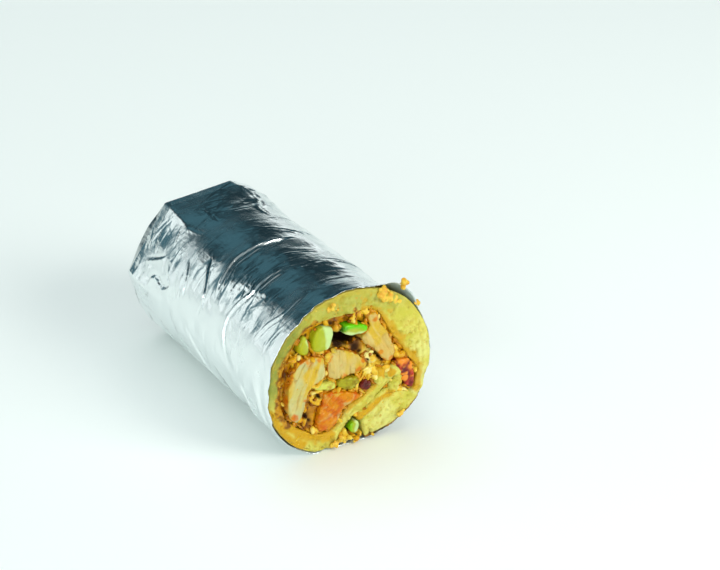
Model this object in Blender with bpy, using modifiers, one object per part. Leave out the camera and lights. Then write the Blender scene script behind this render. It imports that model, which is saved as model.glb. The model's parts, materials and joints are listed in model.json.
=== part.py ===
"""Half of a chicken wrap in foil, lying on its side with its cut face forward.

Metres, +Z up. The cut face looks along -Y and the closed end along +Y, and the origin
is the middle of the footprint. The section is drawn in millimetres about the roll's
axis at the cut, U to the right and V up, and every piece runs back from it along S.
"""
import math

import bmesh
import bpy
from mathutils import Vector, noise

MM = 0.001

# The roll: where it rests, how far it runs and how much it narrows towards the back
REST_V = -26.7
FILLING_END = 92.0
BREAD_END = 94.0
FOIL_CREASE = 100.0
TAPER = 0.045
TUCK = [(0, 1.0), (72, 1.0), (88, 0.87), (94, 0.76)]
# Behind the cut the foil squeezes the roll flatter from its upper right side
SQUEEZE = [(0, 0.0), (12, 1.0), (72, 1.0), (88, 0.7), (94, 0.6), (100, 0.5)]
SQUEEZE_BY = 0.034
SQUEEZE_SIDE = 45.0
SQUEEZE_FIXED = 25.0
STATIONS = (12, 72, 88)
ORIGIN_U = 0.73
ORIGIN_S = 51.35

# The gap kept between neighbours, and the foil's thickness with its small folds
GAP = 0.4
FOIL_THICK = 0.45

# The flatbread, one sheet rolled up: direction in degrees, outer radius, thickness
SHEET = [
    (-75, 25.6, 4.6), (-66, 27.4, 9.8), (-45, 30.1, 13.1), (-32, 31.0, 10.8),
    (-27, 31.1, 3.5), (-20, 31.1, 3.5), (-8, 31.1, 4.4), (2, 31.1, 8.2),
    (12, 31.0, 9.3), (25, 31.0, 10.8), (45, 31.1, 10.6), (60, 30.8, 7.6),
    (75, 30.4, 7.0), (90, 30.1, 7.6), (105, 30.0, 6.2), (120, 29.7, 4.4),
    (132, 29.6, 3.3), (150, 29.5, 3.6), (180, 29.3, 3.6), (205, 29.6, 4.0),
    (228, 29.0, 5.6), (240, 28.3, 5.8), (251, 27.0, 6.0), (259, 24.6, 6.2),
    (268, 19.0, 5.6), (280, 16.6, 5.2), (295, 16.0, 4.8), (315, 15.8, 4.4),
    (330, 17.0, 4.6), (345, 18.6, 4.6)]
SHEET_STEPS = 2
CAVITY_FROM = 4
CAVITY_MOUTH = [(18.2, -4.0), (18.5, -5.4), (16.1, -8.2), (17.1, -10.3)]

# The foil at the cut: direction and outer radius, then the corners of its folded end
FOIL_ROUND = [
    (-90, 27.5), (-78, 27.9), (-66, 29.1), (-45, 31.1), (-30, 32.0), (-15, 32.1),
    (0, 32.0), (25, 31.9), (45, 32.0), (60, 31.7), (75, 31.3), (90, 31.0),
    (105, 30.9), (120, 30.6), (150, 30.4), (180, 30.2), (205, 30.5), (228, 30.0),
    (240, 29.5), (255, 28.4), (270, 27.5)]
END_CORNERS = [(25.5, 14.0), (20.5, 20.0), (15.4, 24.4), (10.1, 26.7),
               (-15.8, 24.2), (-31.0, 0.8), (-28.4, -8.0)]
END_FOLD_FROM = 74.0
FOIL_SIDES = 54
FOIL_PROFILE = [(1.0, s) for s in (0.8, 4, 8, 14, 21, 28, 35, 42, 49, 56, 63, 69, 75,
                                   80, 84.5, 89, 93, 97, 100)]
FOIL_PROFILE += [(0.93, 102.4), (0.80, 103.2), (0.52, 103.6), (0.24, 103.8), (0.0, 103.9)]
END_BULGE = 1.7
BULGE_WIDER = 0.025
BULGE_FROM, BULGE_TO = 118.0, 184.0
FOIL_CREASES = 0.75
FLAP = [(22, 0.0), (36, 0.3), (48, 2.4), (60, 3.0), (68, 1.2), (78, 0.0)]
FLAP_DEPTH = 9.0

# Outlines of the pieces at the cut, and how far each stands back from the cut plane
PIECES = {
    "chicken_left": (-0.7, [(-23.6, -7.3), (-20.7, -11.6), (-18.0, -9.1), (-16.2, -2.7),
                            (-14.1, 0.6), (-10.5, 2.2), (-9.4, 5.5), (-10.5, 9.5),
                            (-14.5, 10.7), (-19.5, 9.5), (-22.5, 4.5), (-23.6, -1.8)]),
    "chicken_top": (0.0, [(-8.2, 2.0), (-2.7, 0.0), (2.7, 0.2), (6.2, 2.4), (4.5, 5.5),
                          (0.9, 8.5), (-3.6, 10.7), (-8.4, 11.1), (-9.1, 8.9),
                          (-8.2, 5.5)]),
    "chicken_right": (0.3, [(5.0, 12.3), (8.0, 16.6), (6.6, 20.0), (9.1, 20.6),
                            (11.5, 18.2), (13.6, 13.6), (16.2, 8.2), (17.5, 3.6),
                            (16.4, 1.4), (14.1, 2.0), (10.9, 5.6), (7.7, 9.4)]),
    "chicken_sauced": (0.2, [(-9.1, -4.8), (-3.6, -5.3), (0.9, -7.1), (4.4, -8.7),
                             (1.0, -10.2), (-2.4, -12.9), (-4.5, -16.8), (-8.2, -19.3),
                             (-11.8, -17.3), (-11.5, -12.3), (-10.0, -8.2)]),
    "cucumber_rind": (0.5, [(-18.2, 17.4), (-17.2, 19.0), (-16.1, 17.5), (-15.3, 14.1),
                            (-15.7, 12.0), (-17.6, 12.2), (-19.4, 14.2)]),
    "cucumber_pale": (-0.6, [(-13.9, 13.4), (-13.5, 18.2), (-12.0, 20.7), (-8.6, 20.4),
                             (-6.9, 17.7), (-7.1, 14.4), (-9.1, 12.6)]),
    "cucumber_slice": (-0.4, [(-3.3, 18.5), (-0.9, 19.5), (2.7, 18.4), (6.5, 16.9),
                              (6.3, 15.1), (2.7, 14.8), (-1.8, 16.0)]),
    "cucumber_low": (0.2, [(0.6, -19.6), (2.6, -18.3), (4.2, -19.4), (4.1, -21.6),
                           (2.6, -22.8), (1.0, -21.9)]),
    "pepper_olive": (0.6, [(-3.6, -1.5), (0.0, -1.2), (3.9, -2.2), (3.1, -4.5),
                           (1.1, -6.0), (-2.3, -4.4), (-3.8, -3.1)]),
    "onion_strip": (0.8, [(-12.7, -1.2), (-8.6, -0.6), (-4.9, -1.3), (-5.1, -3.7),
                          (-8.6, -3.8), (-12.1, -2.5)]),
    "char_mid": (0.4, [(4.7, -4.5), (7.0, -3.7), (9.0, -5.6), (8.1, -7.1), (6.1, -7.5),
                       (4.6, -6.4)]),
    "char_side": (-0.3, [(17.9, 0.2), (20.0, 1.0), (22.8, 0.0), (24.3, -3.3),
                         (25.1, -7.3), (24.3, -11.1), (22.8, -10.5), (20.6, -7.8),
                         (19.5, -4.1)]),
    "shreds_low": (1.0, [(-5.4, -25.2), (-3.6, -24.5), (-1.9, -22.6), (-0.6, -20.7),
                         (0.0, -21.6), (0.2, -23.3), (1.6, -24.2), (3.4, -24.3),
                         (3.6, -25.1), (1.5, -25.6), (-2.5, -25.6)]),
}
PIECE_END = 87.0
OUTLINE_STEPS = 2
EDGE_INSET = 0.55
EDGE_RISE = 0.5

# The loose filling between the pieces: its front lies back, with a pit at the top
MIX_FRONT = 2.0
MIX_RELIEF = 1.1
MIX_CELL = 2.9
MIX_HALF = 29.0
PIT = [(-6.2, 17.0), (-5.6, 13.6), (-2.7, 12.6), (0.9, 10.9), (3.9, 11.6), (5.0, 13.6),
       (2.6, 14.4), (-2.0, 15.6), (-3.6, 17.4)]
PIT_DEPTH = 10.0

# Crumbs stuck to the bread's cut edge and to the foil's flap: U, V, S, radius
BREAD_CRUMBS = [(12.2, 26.4, -0.5, 1.5), (14.9, 24.6, -0.6, 1.7), (16.9, 22.6, -0.3, 1.3),
                (-6.4, 27.0, -0.3, 1.4)]
FOIL_CRUMBS = [(21.0, 28.0, 1.5, 1.5), (26.6, 19.6, 1.4, 1.1)]

# Colour (linear), roughness and metallic value of each piece
LOOKS = {
    "foil_wrap": ((0.78, 0.79, 0.81), 0.22, 1.0),
    "flatbread": ((0.62, 0.46, 0.17), 0.70, 0.0),
    "chicken_left": ((0.66, 0.45, 0.19), 0.50, 0.0),
    "chicken_top": ((0.72, 0.50, 0.22), 0.50, 0.0),
    "chicken_right": ((0.62, 0.36, 0.18), 0.50, 0.0),
    "chicken_sauced": ((0.60, 0.25, 0.07), 0.42, 0.0),
    "cucumber_rind": ((0.42, 0.45, 0.12), 0.40, 0.0),
    "cucumber_pale": ((0.52, 0.56, 0.20), 0.38, 0.0),
    "cucumber_slice": ((0.25, 0.50, 0.06), 0.32, 0.0),
    "cucumber_low": ((0.38, 0.50, 0.12), 0.38, 0.0),
    "pepper_olive": ((0.34, 0.32, 0.06), 0.40, 0.0),
    "onion_strip": ((0.60, 0.46, 0.16), 0.40, 0.0),
    "char_mid": ((0.12, 0.03, 0.02), 0.30, 0.0),
    "char_side": ((0.42, 0.11, 0.03), 0.32, 0.0),
    "filling_mix": ((0.40, 0.19, 0.05), 0.45, 0.0),
    "shreds_low": ((0.48, 0.20, 0.05), 0.45, 0.0),
}


def clear_scene():
    for obj in list(bpy.data.objects):
        bpy.data.objects.remove(obj, do_unlink=True)


def smooth(low, high, value):
    """A soft step from 0 at low to 1 at high."""
    t = min(1.0, max(0.0, (value - low) / (high - low)))
    return t * t * (3 - 2 * t)


def between(stations, value):
    """Straight-line reading of a list of (position, value) stations."""
    for (a, fa), (b, fb) in zip(stations, stations[1:]):
        if value <= b:
            return fa + (fb - fa) * max(0.0, value - a) / (b - a)
    return stations[-1][1]


def spline(points, steps):
    """Points of a Catmull-Rom curve through the given ones, ends included."""
    padded = [2 * points[0] - points[1]] + points + [2 * points[-1] - points[-2]]
    found = []
    for a, b, c, d in zip(padded, padded[1:], padded[2:], padded[3:]):
        for i in range(steps):
            t = i / steps
            found.append(0.5 * (2 * b + (c - a) * t + (2 * a - 5 * b + 4 * c - d) * t * t
                                + (3 * b - a - 3 * c + d) * t ** 3))
    return found + [points[-1]]


def polar(degrees, radius):
    turn = math.radians(degrees)
    return Vector((radius * math.cos(turn), radius * math.sin(turn)))


def grow(points, distance):
    """A counter-clockwise outline moved out square to itself by a distance."""
    moved = []
    for i, here in enumerate(points):
        back = (here - points[i - 1]).normalized()
        on = (points[(i + 1) % len(points)] - here).normalized()
        along = (back + on).normalized()
        moved.append(here + Vector((along.y, -along.x)) * distance / max(0.6, along.dot(on)))
    return moved


def narrow(co):
    """The roll narrows backwards about the line that it rests on, and is squeezed."""
    k = 1 - TAPER * co.y / FOIL_CREASE
    side = polar(SQUEEZE_SIDE, 1.0)
    depth = side.x * co.x + side.y * co.z + SQUEEZE_FIXED
    depth *= SQUEEZE_BY * between(SQUEEZE, co.y)
    u, v = co.x - side.x * depth, co.z - side.y * depth
    return Vector((u * k, co.y, (v - REST_V) * k + REST_V))


def tucked(co):
    """The bread and its filling also draw in towards their axis at the back."""
    k = between(TUCK, co.y)
    return narrow(Vector((co.x * k, co.y, co.z * k)))


def to_part(co):
    return Vector((co.x - ORIGIN_U, co.y - ORIGIN_S, co.z - REST_V)) * MM


def make_object(name, bm, collection):
    """A named object in its own material from a bmesh in part coordinates."""
    bmesh.ops.recalc_face_normals(bm, faces=bm.faces)
    mesh = bpy.data.meshes.new(name)
    bm.to_mesh(mesh)
    bm.free()
    obj = bpy.data.objects.new(name, mesh)
    collection.objects.link(obj)
    if name in LOOKS:
        colour, rough, metal = LOOKS[name]
        material = bpy.data.materials.new(name)
        material.use_nodes = True
        shader = material.node_tree.nodes["Principled BSDF"]
        shader.inputs["Base Color"].default_value = (*colour, 1.0)
        shader.inputs["Roughness"].default_value = rough
        shader.inputs["Metallic"].default_value = metal
        mesh.materials.append(material)
    return obj


def cut_lengthwise(bm):
    """Rings of edges at the stations where the roll changes its narrowing."""
    for station in STATIONS:
        bmesh.ops.bisect_plane(bm, geom=bm.verts[:] + bm.edges[:] + bm.faces[:], dist=1e-5,
                               plane_co=(0, station, 0), plane_no=(0, 1, 0))


def settle(bm, shape):
    for vert in bm.verts:
        vert.co = to_part(shape(vert.co))


def slab(columns, rows, layers):
    """A unit slab, cut into an even grid of columns, rows and layers."""
    bm = bmesh.new()
    bmesh.ops.create_cube(bm, size=1.0)
    for axis, count in enumerate((columns, rows, layers)):
        along = [e for e in bm.edges
                 if abs(abs((e.verts[0].co - e.verts[1].co).normalized()[axis]) - 1) < 1e-6]
        if count > 1:
            bmesh.ops.subdivide_edges(bm, edges=along, cuts=count - 1, use_grid_fill=True)
    bmesh.ops.translate(bm, verts=bm.verts, vec=(0.5, 0.5, 0.5))
    return bm


def crag(u, v, size, depth, seed):
    """Seeded unevenness of a cut surface."""
    return depth * noise.noise(Vector((u / size, v / size, seed)))


def fuse_lumps(obj, lumps, squash, collection):
    """Join small crumbs to a piece with one Boolean union, then drop them."""
    for i, (u, v, s, radius) in enumerate(lumps):
        bm = bmesh.new()
        bmesh.ops.create_icosphere(bm, subdivisions=2, radius=radius)
        for vert in bm.verts:
            lump = vert.co * (1 + 0.35 * noise.noise(vert.co * 0.8 + Vector((u, v, s))))
            vert.co = to_part(Vector((u + lump.x, s + lump.y * squash, v + lump.z)))
        make_object(f"lump_{obj.name}_{i}", bm, collection)
    join = obj.modifiers.new("crumbs", "BOOLEAN")
    join.operation = "UNION"
    join.solver = "EXACT"
    join.operand_type = "COLLECTION"
    join.collection = collection
    apply_modifiers(obj)
    for lump in list(collection.objects):
        bpy.data.objects.remove(lump, do_unlink=True)


def apply_modifiers(obj):
    """Replace an object's mesh with the one its modifiers make."""
    bpy.context.view_layer.update()
    seen = obj.evaluated_get(bpy.context.evaluated_depsgraph_get())
    made = bpy.data.meshes.new_from_object(seen)
    made.name = obj.name
    obj.modifiers.clear()
    obj.data = made


def sheet_sides():
    """The rolled sheet's outer and inner face as two rows of section points."""
    outer = spline([polar(a, r) for a, r, t in SHEET], SHEET_STEPS)
    inner = spline([polar(a, r - t) for a, r, t in SHEET], SHEET_STEPS)
    return outer, inner


def build_flatbread(collection, cutters):
    """The sheet: a flat slab rolled so that its inner end crosses the filling."""
    outer, inner = sheet_sides()
    columns = len(outer) - 1
    rows = [0, 2.5, 12, 42, 72, 88, BREAD_END]
    bm = slab(columns, len(rows) - 1, 3)
    for vert in bm.verts:
        column = round(vert.co.x * columns)
        row = round(vert.co.y * (len(rows) - 1))
        point = outer[column].lerp(inner[column], vert.co.z)
        s = rows[row]
        if row == 0:
            edge = 0.5 if vert.co.z in (0.0, 1.0) else 0.0
            s = edge + crag(point.x, point.y, 5.0, 0.9, 1.5)
        vert.co = Vector((point.x, s, point.y))
    settle(bm, tucked)
    bread = make_object("flatbread", bm, collection)
    fuse_lumps(bread, BREAD_CRUMBS, 0.8, cutters)


def outline_face(points):
    """A bmesh with one face in the section plane, from a smooth closed 2D curve."""
    curve = bpy.data.curves.new("outline", "CURVE")
    curve.dimensions = "2D"
    curve.fill_mode = "NONE"
    line = curve.splines.new("BEZIER")
    line.bezier_points.add(len(points) - 1)
    for knot, (u, v) in zip(line.bezier_points, points):
        knot.co = (u, v, 0)
        knot.handle_left_type = knot.handle_right_type = "AUTO"
    line.use_cyclic_u = True
    line.resolution_u = OUTLINE_STEPS
    guide = bpy.data.objects.new("outline", curve)
    bpy.context.scene.collection.objects.link(guide)
    bpy.context.view_layer.update()
    seen = guide.evaluated_get(bpy.context.evaluated_depsgraph_get())
    mesh = bpy.data.meshes.new_from_object(seen)
    bpy.data.objects.remove(guide, do_unlink=True)
    bm = bmesh.new()
    bm.from_mesh(mesh)
    bmesh.ops.remove_doubles(bm, verts=bm.verts, dist=1e-4)
    bmesh.ops.contextual_create(bm, geom=bm.edges[:])
    for vert in bm.verts:
        vert.co = Vector((vert.co.x, 0, vert.co.y))
    return bm


def prism(points, front, end):
    """The outline's solid from its front station back to its end station."""
    bm = outline_face(points)
    bmesh.ops.translate(bm, verts=bm.verts, vec=(0, front, 0))
    made = bmesh.ops.extrude_face_region(bm, geom=bm.faces[:])["geom"]
    back = [item for item in made if isinstance(item, bmesh.types.BMVert)]
    bmesh.ops.translate(bm, verts=back, vec=(0, end - front, 0))
    bmesh.ops.recalc_face_normals(bm, faces=bm.faces)
    return bm


def build_piece(name, collection):
    """A slab of the filling: its cut end has a softened edge and uneven middle."""
    front, points = PIECES[name]
    bm = prism([Vector(p) for p in points], front, PIECE_END)
    cap = [f for f in bm.faces if all(abs(v.co.y - front) < 1e-6 for v in f.verts)]
    bmesh.ops.inset_region(bm, faces=cap, thickness=EDGE_INSET, depth=EDGE_RISE,
                           use_even_offset=True)
    for vert in bm.verts:
        if vert.co.y < front - EDGE_RISE / 2:
            vert.co.y += crag(vert.co.x, vert.co.z, 3.0, 0.7, front)
    cut_lengthwise(bm)
    settle(bm, tucked)
    bmesh.ops.triangulate(bm, faces=[f for f in bm.faces if len(f.verts) > 4])
    make_object(name, bm, collection)


def cavity_outline():
    """The space inside the rolled sheet, closed across its mouth."""
    _, inner = sheet_sides()
    round_it = inner[CAVITY_FROM * SHEET_STEPS:]
    loop = round_it + [Vector(p) for p in CAVITY_MOUTH]
    return grow(loop, -GAP)


def straight_prism(points, front, end):
    """A solid straight from a list of section points, for the Boolean cuts."""
    bm = bmesh.new()
    bm.faces.new([bm.verts.new((p.x, front, p.y)) for p in points])
    made = bmesh.ops.extrude_face_region(bm, geom=bm.faces[:])["geom"]
    back = [item for item in made if isinstance(item, bmesh.types.BMVert)]
    bmesh.ops.translate(bm, verts=back, vec=(0, end - front, 0))
    return bm


def grown_prism(points, end):
    """A piece's solid, wider all round by the gap, to cut its place in the filling."""
    bm = outline_face(points)
    loop = [v.co for v in bm.faces[:][0].verts]
    flat = [Vector((co.x, co.z)) for co in loop]
    area = sum(a.cross(b) for a, b in zip(flat, flat[1:] + flat[:1]))
    bm.free()
    if area < 0:
        flat.reverse()
    return straight_prism(grow(flat, GAP), -8.0, end)


def boolean(obj, cutters, operation):
    """Cut an object with everything in the cutters' collection, then empty it."""
    cut = obj.modifiers.new(operation, "BOOLEAN")
    cut.operation = operation
    cut.solver = "EXACT"
    cut.operand_type = "COLLECTION"
    cut.collection = cutters
    cut.use_self = True
    apply_modifiers(obj)
    for other in list(cutters.objects):
        bpy.data.objects.remove(other, do_unlink=True)


def build_filling_mix(collection, cutters):
    """Loose shreds and sauce: the cavity's block, less the places of the pieces."""
    cells = round(2 * MIX_HALF / MIX_CELL)
    bm = slab(cells, 1, cells)
    for vert in bm.verts:
        u, v = (vert.co.x * 2 - 1) * MIX_HALF, (vert.co.z * 2 - 1) * MIX_HALF
        front = MIX_FRONT + crag(u, v, 3.4, MIX_RELIEF, 4.2)
        vert.co = Vector((u, FILLING_END if vert.co.y > 0.5 else front, v))
    mix = make_object("filling_mix", bm, collection)
    make_object("cavity", straight_prism(cavity_outline(), -8.0, 99.0), cutters)
    boolean(mix, cutters, "INTERSECT")
    for name, (_, points) in PIECES.items():
        if name != "shreds_low":
            make_object("place", grown_prism([Vector(p) for p in points], PIECE_END + GAP),
                        cutters)
    make_object("pit", grown_prism([Vector(p) for p in PIT], PIT_DEPTH), cutters)
    boolean(mix, cutters, "DIFFERENCE")
    finish_mix(mix)


def finish_mix(mix):
    """Clean the cut block, ring it at the stations and settle it in the roll."""
    bm = bmesh.new()
    bm.from_mesh(mix.data)
    bmesh.ops.remove_doubles(bm, verts=bm.verts, dist=0.03)
    bmesh.ops.dissolve_limit(bm, angle_limit=math.radians(1.0), verts=bm.verts,
                             edges=bm.edges)
    cut_lengthwise(bm)
    bmesh.ops.triangulate(bm, faces=bm.faces)
    settle(bm, tucked)
    bmesh.ops.recalc_face_normals(bm, faces=bm.faces)
    bm.to_mesh(mix.data)
    bm.free()


def end_radius(degrees):
    """Radius of the folded end's outline where its straight facets run, or None."""
    ray = polar(degrees, 1.0)
    for a, b in zip(END_CORNERS, END_CORNERS[1:]):
        a, b = Vector(a), Vector(b)
        side = b - a
        turn = ray.cross(side)
        if abs(turn) > 1e-9:
            reach, share = a.cross(side) / turn, a.cross(ray) / turn
            if reach > 0 and -1e-6 <= share <= 1 + 1e-6:
                return reach
    return None


def foil_point(share, s, degrees):
    """A point of the foil's outer face: round at the cut, flat facets at the end."""
    flap = between(FLAP, degrees) if FLAP[0][0] < degrees < FLAP[-1][0] else 0.0
    radius = between(FOIL_ROUND, degrees) + flap * (1 - smooth(0, FLAP_DEPTH, s))
    crease = noise.noise(Vector((radius * math.cos(math.radians(degrees)) / 9, s / 13,
                                 radius * math.sin(math.radians(degrees)) / 9)))
    radius += FOIL_CREASES * abs(crease)
    point = polar(degrees, radius)
    co = narrow(Vector((point.x, s, point.y)))
    facet = end_radius(degrees)
    if facet:
        there = polar(degrees, facet)
        co = co.lerp(Vector((there.x, s, there.y)), smooth(END_FOLD_FROM, 98, s))
    co.z = max(co.z, REST_V)
    if BULGE_FROM < degrees < BULGE_TO and share < 0.99:
        bulge = math.sin(math.pi * (degrees - BULGE_FROM) / (BULGE_TO - BULGE_FROM)) ** 2
        co.y += END_BULGE * bulge * share
        share += BULGE_WIDER * bulge * share
    return Vector((co.x * share, co.y, co.z * share))


def build_foil(collection, cutters):
    """The foil: a profile turned about the roll's axis, then shaped and thickened."""
    bm = bmesh.new()
    row = [bm.verts.new((share, s, 0)) for share, s in FOIL_PROFILE]
    for a, b in zip(row, row[1:]):
        bm.edges.new((a, b))
    foil = make_object("foil_wrap", bm, collection)
    turn = foil.modifiers.new("turn", "SCREW")
    turn.axis = "Y"
    turn.steps = turn.render_steps = FOIL_SIDES
    turn.use_merge_vertices = True
    turn.merge_threshold = 1e-4
    apply_modifiers(foil)
    bm = bmesh.new()
    bm.from_mesh(foil.data)
    for vert in bm.verts:
        share = math.hypot(vert.co.x, vert.co.z)
        degrees = math.degrees(math.atan2(vert.co.z, vert.co.x))
        degrees += 360 if degrees < -90 else 0
        s = vert.co.y
        if s < 1.0:
            s += 0.6 * noise.noise(Vector((degrees / 7, 0.3, 2.1)))
        vert.co = to_part(foil_point(min(1.0, share), s, degrees))
    bmesh.ops.recalc_face_normals(bm, faces=bm.faces)
    bm.to_mesh(foil.data)
    bm.free()
    wall = foil.modifiers.new("wall", "SOLIDIFY")
    wall.thickness = FOIL_THICK * MM
    wall.offset = -1.0
    apply_modifiers(foil)
    fuse_lumps(foil, FOIL_CRUMBS, 0.9, cutters)


def main():
    clear_scene()
    wrap = bpy.data.collections.new("foil_wrapped_half")
    cutters = bpy.data.collections.new("cutters")
    for collection in (wrap, cutters):
        bpy.context.scene.collection.children.link(collection)
    build_foil(wrap, cutters)
    build_flatbread(wrap, cutters)
    for name in PIECES:
        build_piece(name, wrap)
    build_filling_mix(wrap, cutters)


main()
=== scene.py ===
import json
import math

import bpy
import numpy as np
from mathutils import Matrix, Vector, noise
from mathutils.kdtree import KDTree

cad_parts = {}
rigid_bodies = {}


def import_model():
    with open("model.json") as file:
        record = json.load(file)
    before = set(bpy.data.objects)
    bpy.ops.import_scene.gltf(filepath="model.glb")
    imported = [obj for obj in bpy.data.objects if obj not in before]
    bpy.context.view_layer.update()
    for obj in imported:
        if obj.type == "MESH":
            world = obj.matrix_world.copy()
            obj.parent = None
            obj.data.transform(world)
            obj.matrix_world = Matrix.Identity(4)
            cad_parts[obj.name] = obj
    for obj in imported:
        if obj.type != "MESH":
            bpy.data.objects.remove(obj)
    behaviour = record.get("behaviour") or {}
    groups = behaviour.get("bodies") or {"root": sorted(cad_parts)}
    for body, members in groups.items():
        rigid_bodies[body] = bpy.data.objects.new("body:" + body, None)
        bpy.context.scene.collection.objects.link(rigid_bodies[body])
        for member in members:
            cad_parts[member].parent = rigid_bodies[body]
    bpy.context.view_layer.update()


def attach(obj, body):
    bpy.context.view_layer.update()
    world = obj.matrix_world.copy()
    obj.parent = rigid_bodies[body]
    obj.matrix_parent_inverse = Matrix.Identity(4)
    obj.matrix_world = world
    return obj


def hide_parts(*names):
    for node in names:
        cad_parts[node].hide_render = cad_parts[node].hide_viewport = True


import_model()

# The foil wrapper: thin kitchen foil rolled round the bread, its far end folded shut like
# a parcel. It starts as a flat sheet that is rolled up, then gets its facets and pleats.
# Places on the roll are a direction in degrees and a distance S behind the cut, in mm.
MM = 0.001
# The part's origin, as a place on the roll: across, behind the cut, up
ROLL_U, ROLL_S, ROLL_V = 0.73, 51.35, -26.7
# Arcs on which distances round the foil and round its end are measured, in mm
FOIL_ARC, END_ARC = 30.0, 28
DIAGONAL = 0.7071
FOIL_ROUND = [(-90, 27.5), (-78, 27.9), (-66, 29.1), (-45, 31.1), (-30, 32.0), (-15, 32.1),
              (0, 32.0), (25, 31.9), (45, 32.0), (60, 31.7), (75, 31.3), (90, 31.0),
              (105, 30.9), (120, 30.6), (150, 30.4), (180, 30.2), (205, 30.5), (228, 30.0),
              (240, 29.5), (255, 28.4), (270, 27.5)]
END_CORNERS = [(25.5, 14.0), (20.5, 20.0), (15.4, 24.4), (10.1, 26.7),
               (-15.8, 24.2), (-31.0, 0.8), (-28.4, -8.0)]
FLAP = [(22, 0.0), (36, 0.3), (48, 2.4), (60, 3.0), (68, 1.2), (78, 0.0)]
SHEET_COLUMNS, BODY_ROWS, CAP_ROWS = 290, 290, 32
END_SPOKES = (29, 69, 123, 178, 225, 270, -45)
WALL = 0.45
DEEP_ROWS = (8.0, 10.5, 14.0, 30.0, 73.0, 78.0, 84.0, 90.0, 95.0, 99.0)
# Long pleats where the foil was pulled round: height, half width, then the places
PLEATS = [
    (0.80, 0.44, [(74, 49.0), (88, 47.4), (97, 48.1), (108, 48.3), (119, 49.1), (129, 47.4),
                  (139, 46.0), (150, 44.2)]),
    (0.50, 0.42, [(96, 46.0), (110, 46.2), (122, 46.6), (133, 44.6), (144, 42.6)]),
    (0.62, 0.42, [(92, 27.0), (98, 28.3), (108, 29.0), (122, 29.7), (131, 29.1), (143, 32.1),
                  (158, 33.7), (174, 31.0), (188, 29.0)]),
    (0.45, 0.42, [(104, 27.0), (118, 27.4), (129, 27.0)]),
    (0.40, 0.45, [(104, 10.4), (111, 9.6), (129, 8.9), (137, 11.7), (150, 14.5)]),
    (0.42, 0.40, [(138, 68.5), (150, 64.1), (166, 62.4)]),
    (0.34, 0.40, [(148, 66.5), (158, 65.3), (170, 65.8)]),
    (0.44, 0.40, [(129, 58.9), (149, 51.7), (162, 49.2)]),
    (0.32, 0.40, [(147, 51.6), (158, 51.1), (170, 52.5)]),
    (0.60, 0.50, [(164, 93.0), (156, 85.1), (150, 80.5)]),
    (0.25, 0.50, [(108, 87.0), (107, 82.2), (108, 74.6), (106, 71.6)]),
    (0.30, 0.45, [(126, 81.6), (124, 78.4), (120, 70.7)]),
    (0.45, 0.80, [(73, 96.2), (63, 91.6), (66, 80.0), (74, 75.6), (68, 66.3)]),
    (0.85, 0.75, [(178, 87.0), (166, 84.0), (172, 76.0), (161, 69.7), (153, 78.6)]),
    (0.40, 0.60, [(180, 60.0), (196, 48.0), (214, 44.0)]),
    (0.40, 0.60, [(186, 22.0), (200, 15.0), (218, 13.0)])]
LOOSE_PLEATS = 110


def soft_step(low, high, value):
    share = np.clip((value - low) / (high - low), 0.0, 1.0)
    return share * share * (3 - 2 * share)


def by_angle(stations, degrees, soften=5.0):
    """Stations round the roll, read as one soft curve."""
    spread = np.linspace(-soften, soften, 9)
    weight = 1.0 - np.abs(spread) / (soften * 1.2)
    turned = (np.asarray(degrees)[..., None] + spread + 90.0) % 360.0 - 90.0
    found = np.interp(turned, [a for a, _ in stations], [r for _, r in stations])
    return (found * weight).sum(-1) / weight.sum()


def narrowed(u, s, v):
    """The roll narrows towards its closed end and is squeezed from its upper right."""
    k = 1 - 0.045 * s / 100.0
    squeeze = 0.034 * np.interp(s, [0, 12, 72, 88, 94, 100], [0, 1, 1, 0.7, 0.6, 0.5])
    depth = (DIAGONAL * u + DIAGONAL * v + 25.0) * squeeze
    return (u - DIAGONAL * depth) * k, (v - DIAGONAL * depth - ROLL_V) * k + ROLL_V


def to_frame(u, s, v):
    """Millimetres on the roll to metres in the part's frame."""
    return np.stack([u - ROLL_U, s - ROLL_S, v - ROLL_V], -1) * MM


def parcel_edge(degrees):
    """Radius of the folded end, flat between its corners, and 0 where it stays round."""
    turn = np.radians(degrees)
    ray_u, ray_v = np.cos(turn), np.sin(turn)
    found = np.zeros_like(turn)
    for (au, av), (bu, bv) in zip(END_CORNERS, END_CORNERS[1:]):
        du, dv = bu - au, bv - av
        across = ray_u * dv - ray_v * du
        across = np.where(np.abs(across) < 1e-9, 1e-9, across)
        reach, share = (au * dv - av * du) / across, (au * ray_v - av * ray_u) / across
        found = np.where((reach > 0) & (share >= 0) & (share <= 1), reach, found)
    return found


def facets(a, s, cell, tilt, seed):
    """A crumpled sheet: random heights joined by flat triangles with sharp edges."""
    heights = np.random.default_rng(seed).uniform(-1, 1, (64, 64))
    x = (a * math.cos(tilt) + s * math.sin(tilt)) / (cell * 1.5)
    y = (s * math.cos(tilt) - a * math.sin(tilt)) / cell
    x, y = x + 0.35 * np.sin(y * 1.7 + seed), y + 0.35 * np.sin(x * 1.3 + 2 * seed)
    i, j = np.floor(x).astype(int), np.floor(y).astype(int)
    fx, fy = x - i, y - j
    h00, h10 = heights[i % 64, j % 64], heights[(i + 1) % 64, j % 64]
    h01, h11 = heights[i % 64, (j + 1) % 64], heights[(i + 1) % 64, (j + 1) % 64]
    low = h00 + fx * (h10 - h00) + fy * (h01 - h00)
    high = h11 + (1 - fx) * (h01 - h11) + (1 - fy) * (h10 - h11)
    return np.where(fx + fy < 1, low, high)


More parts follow.
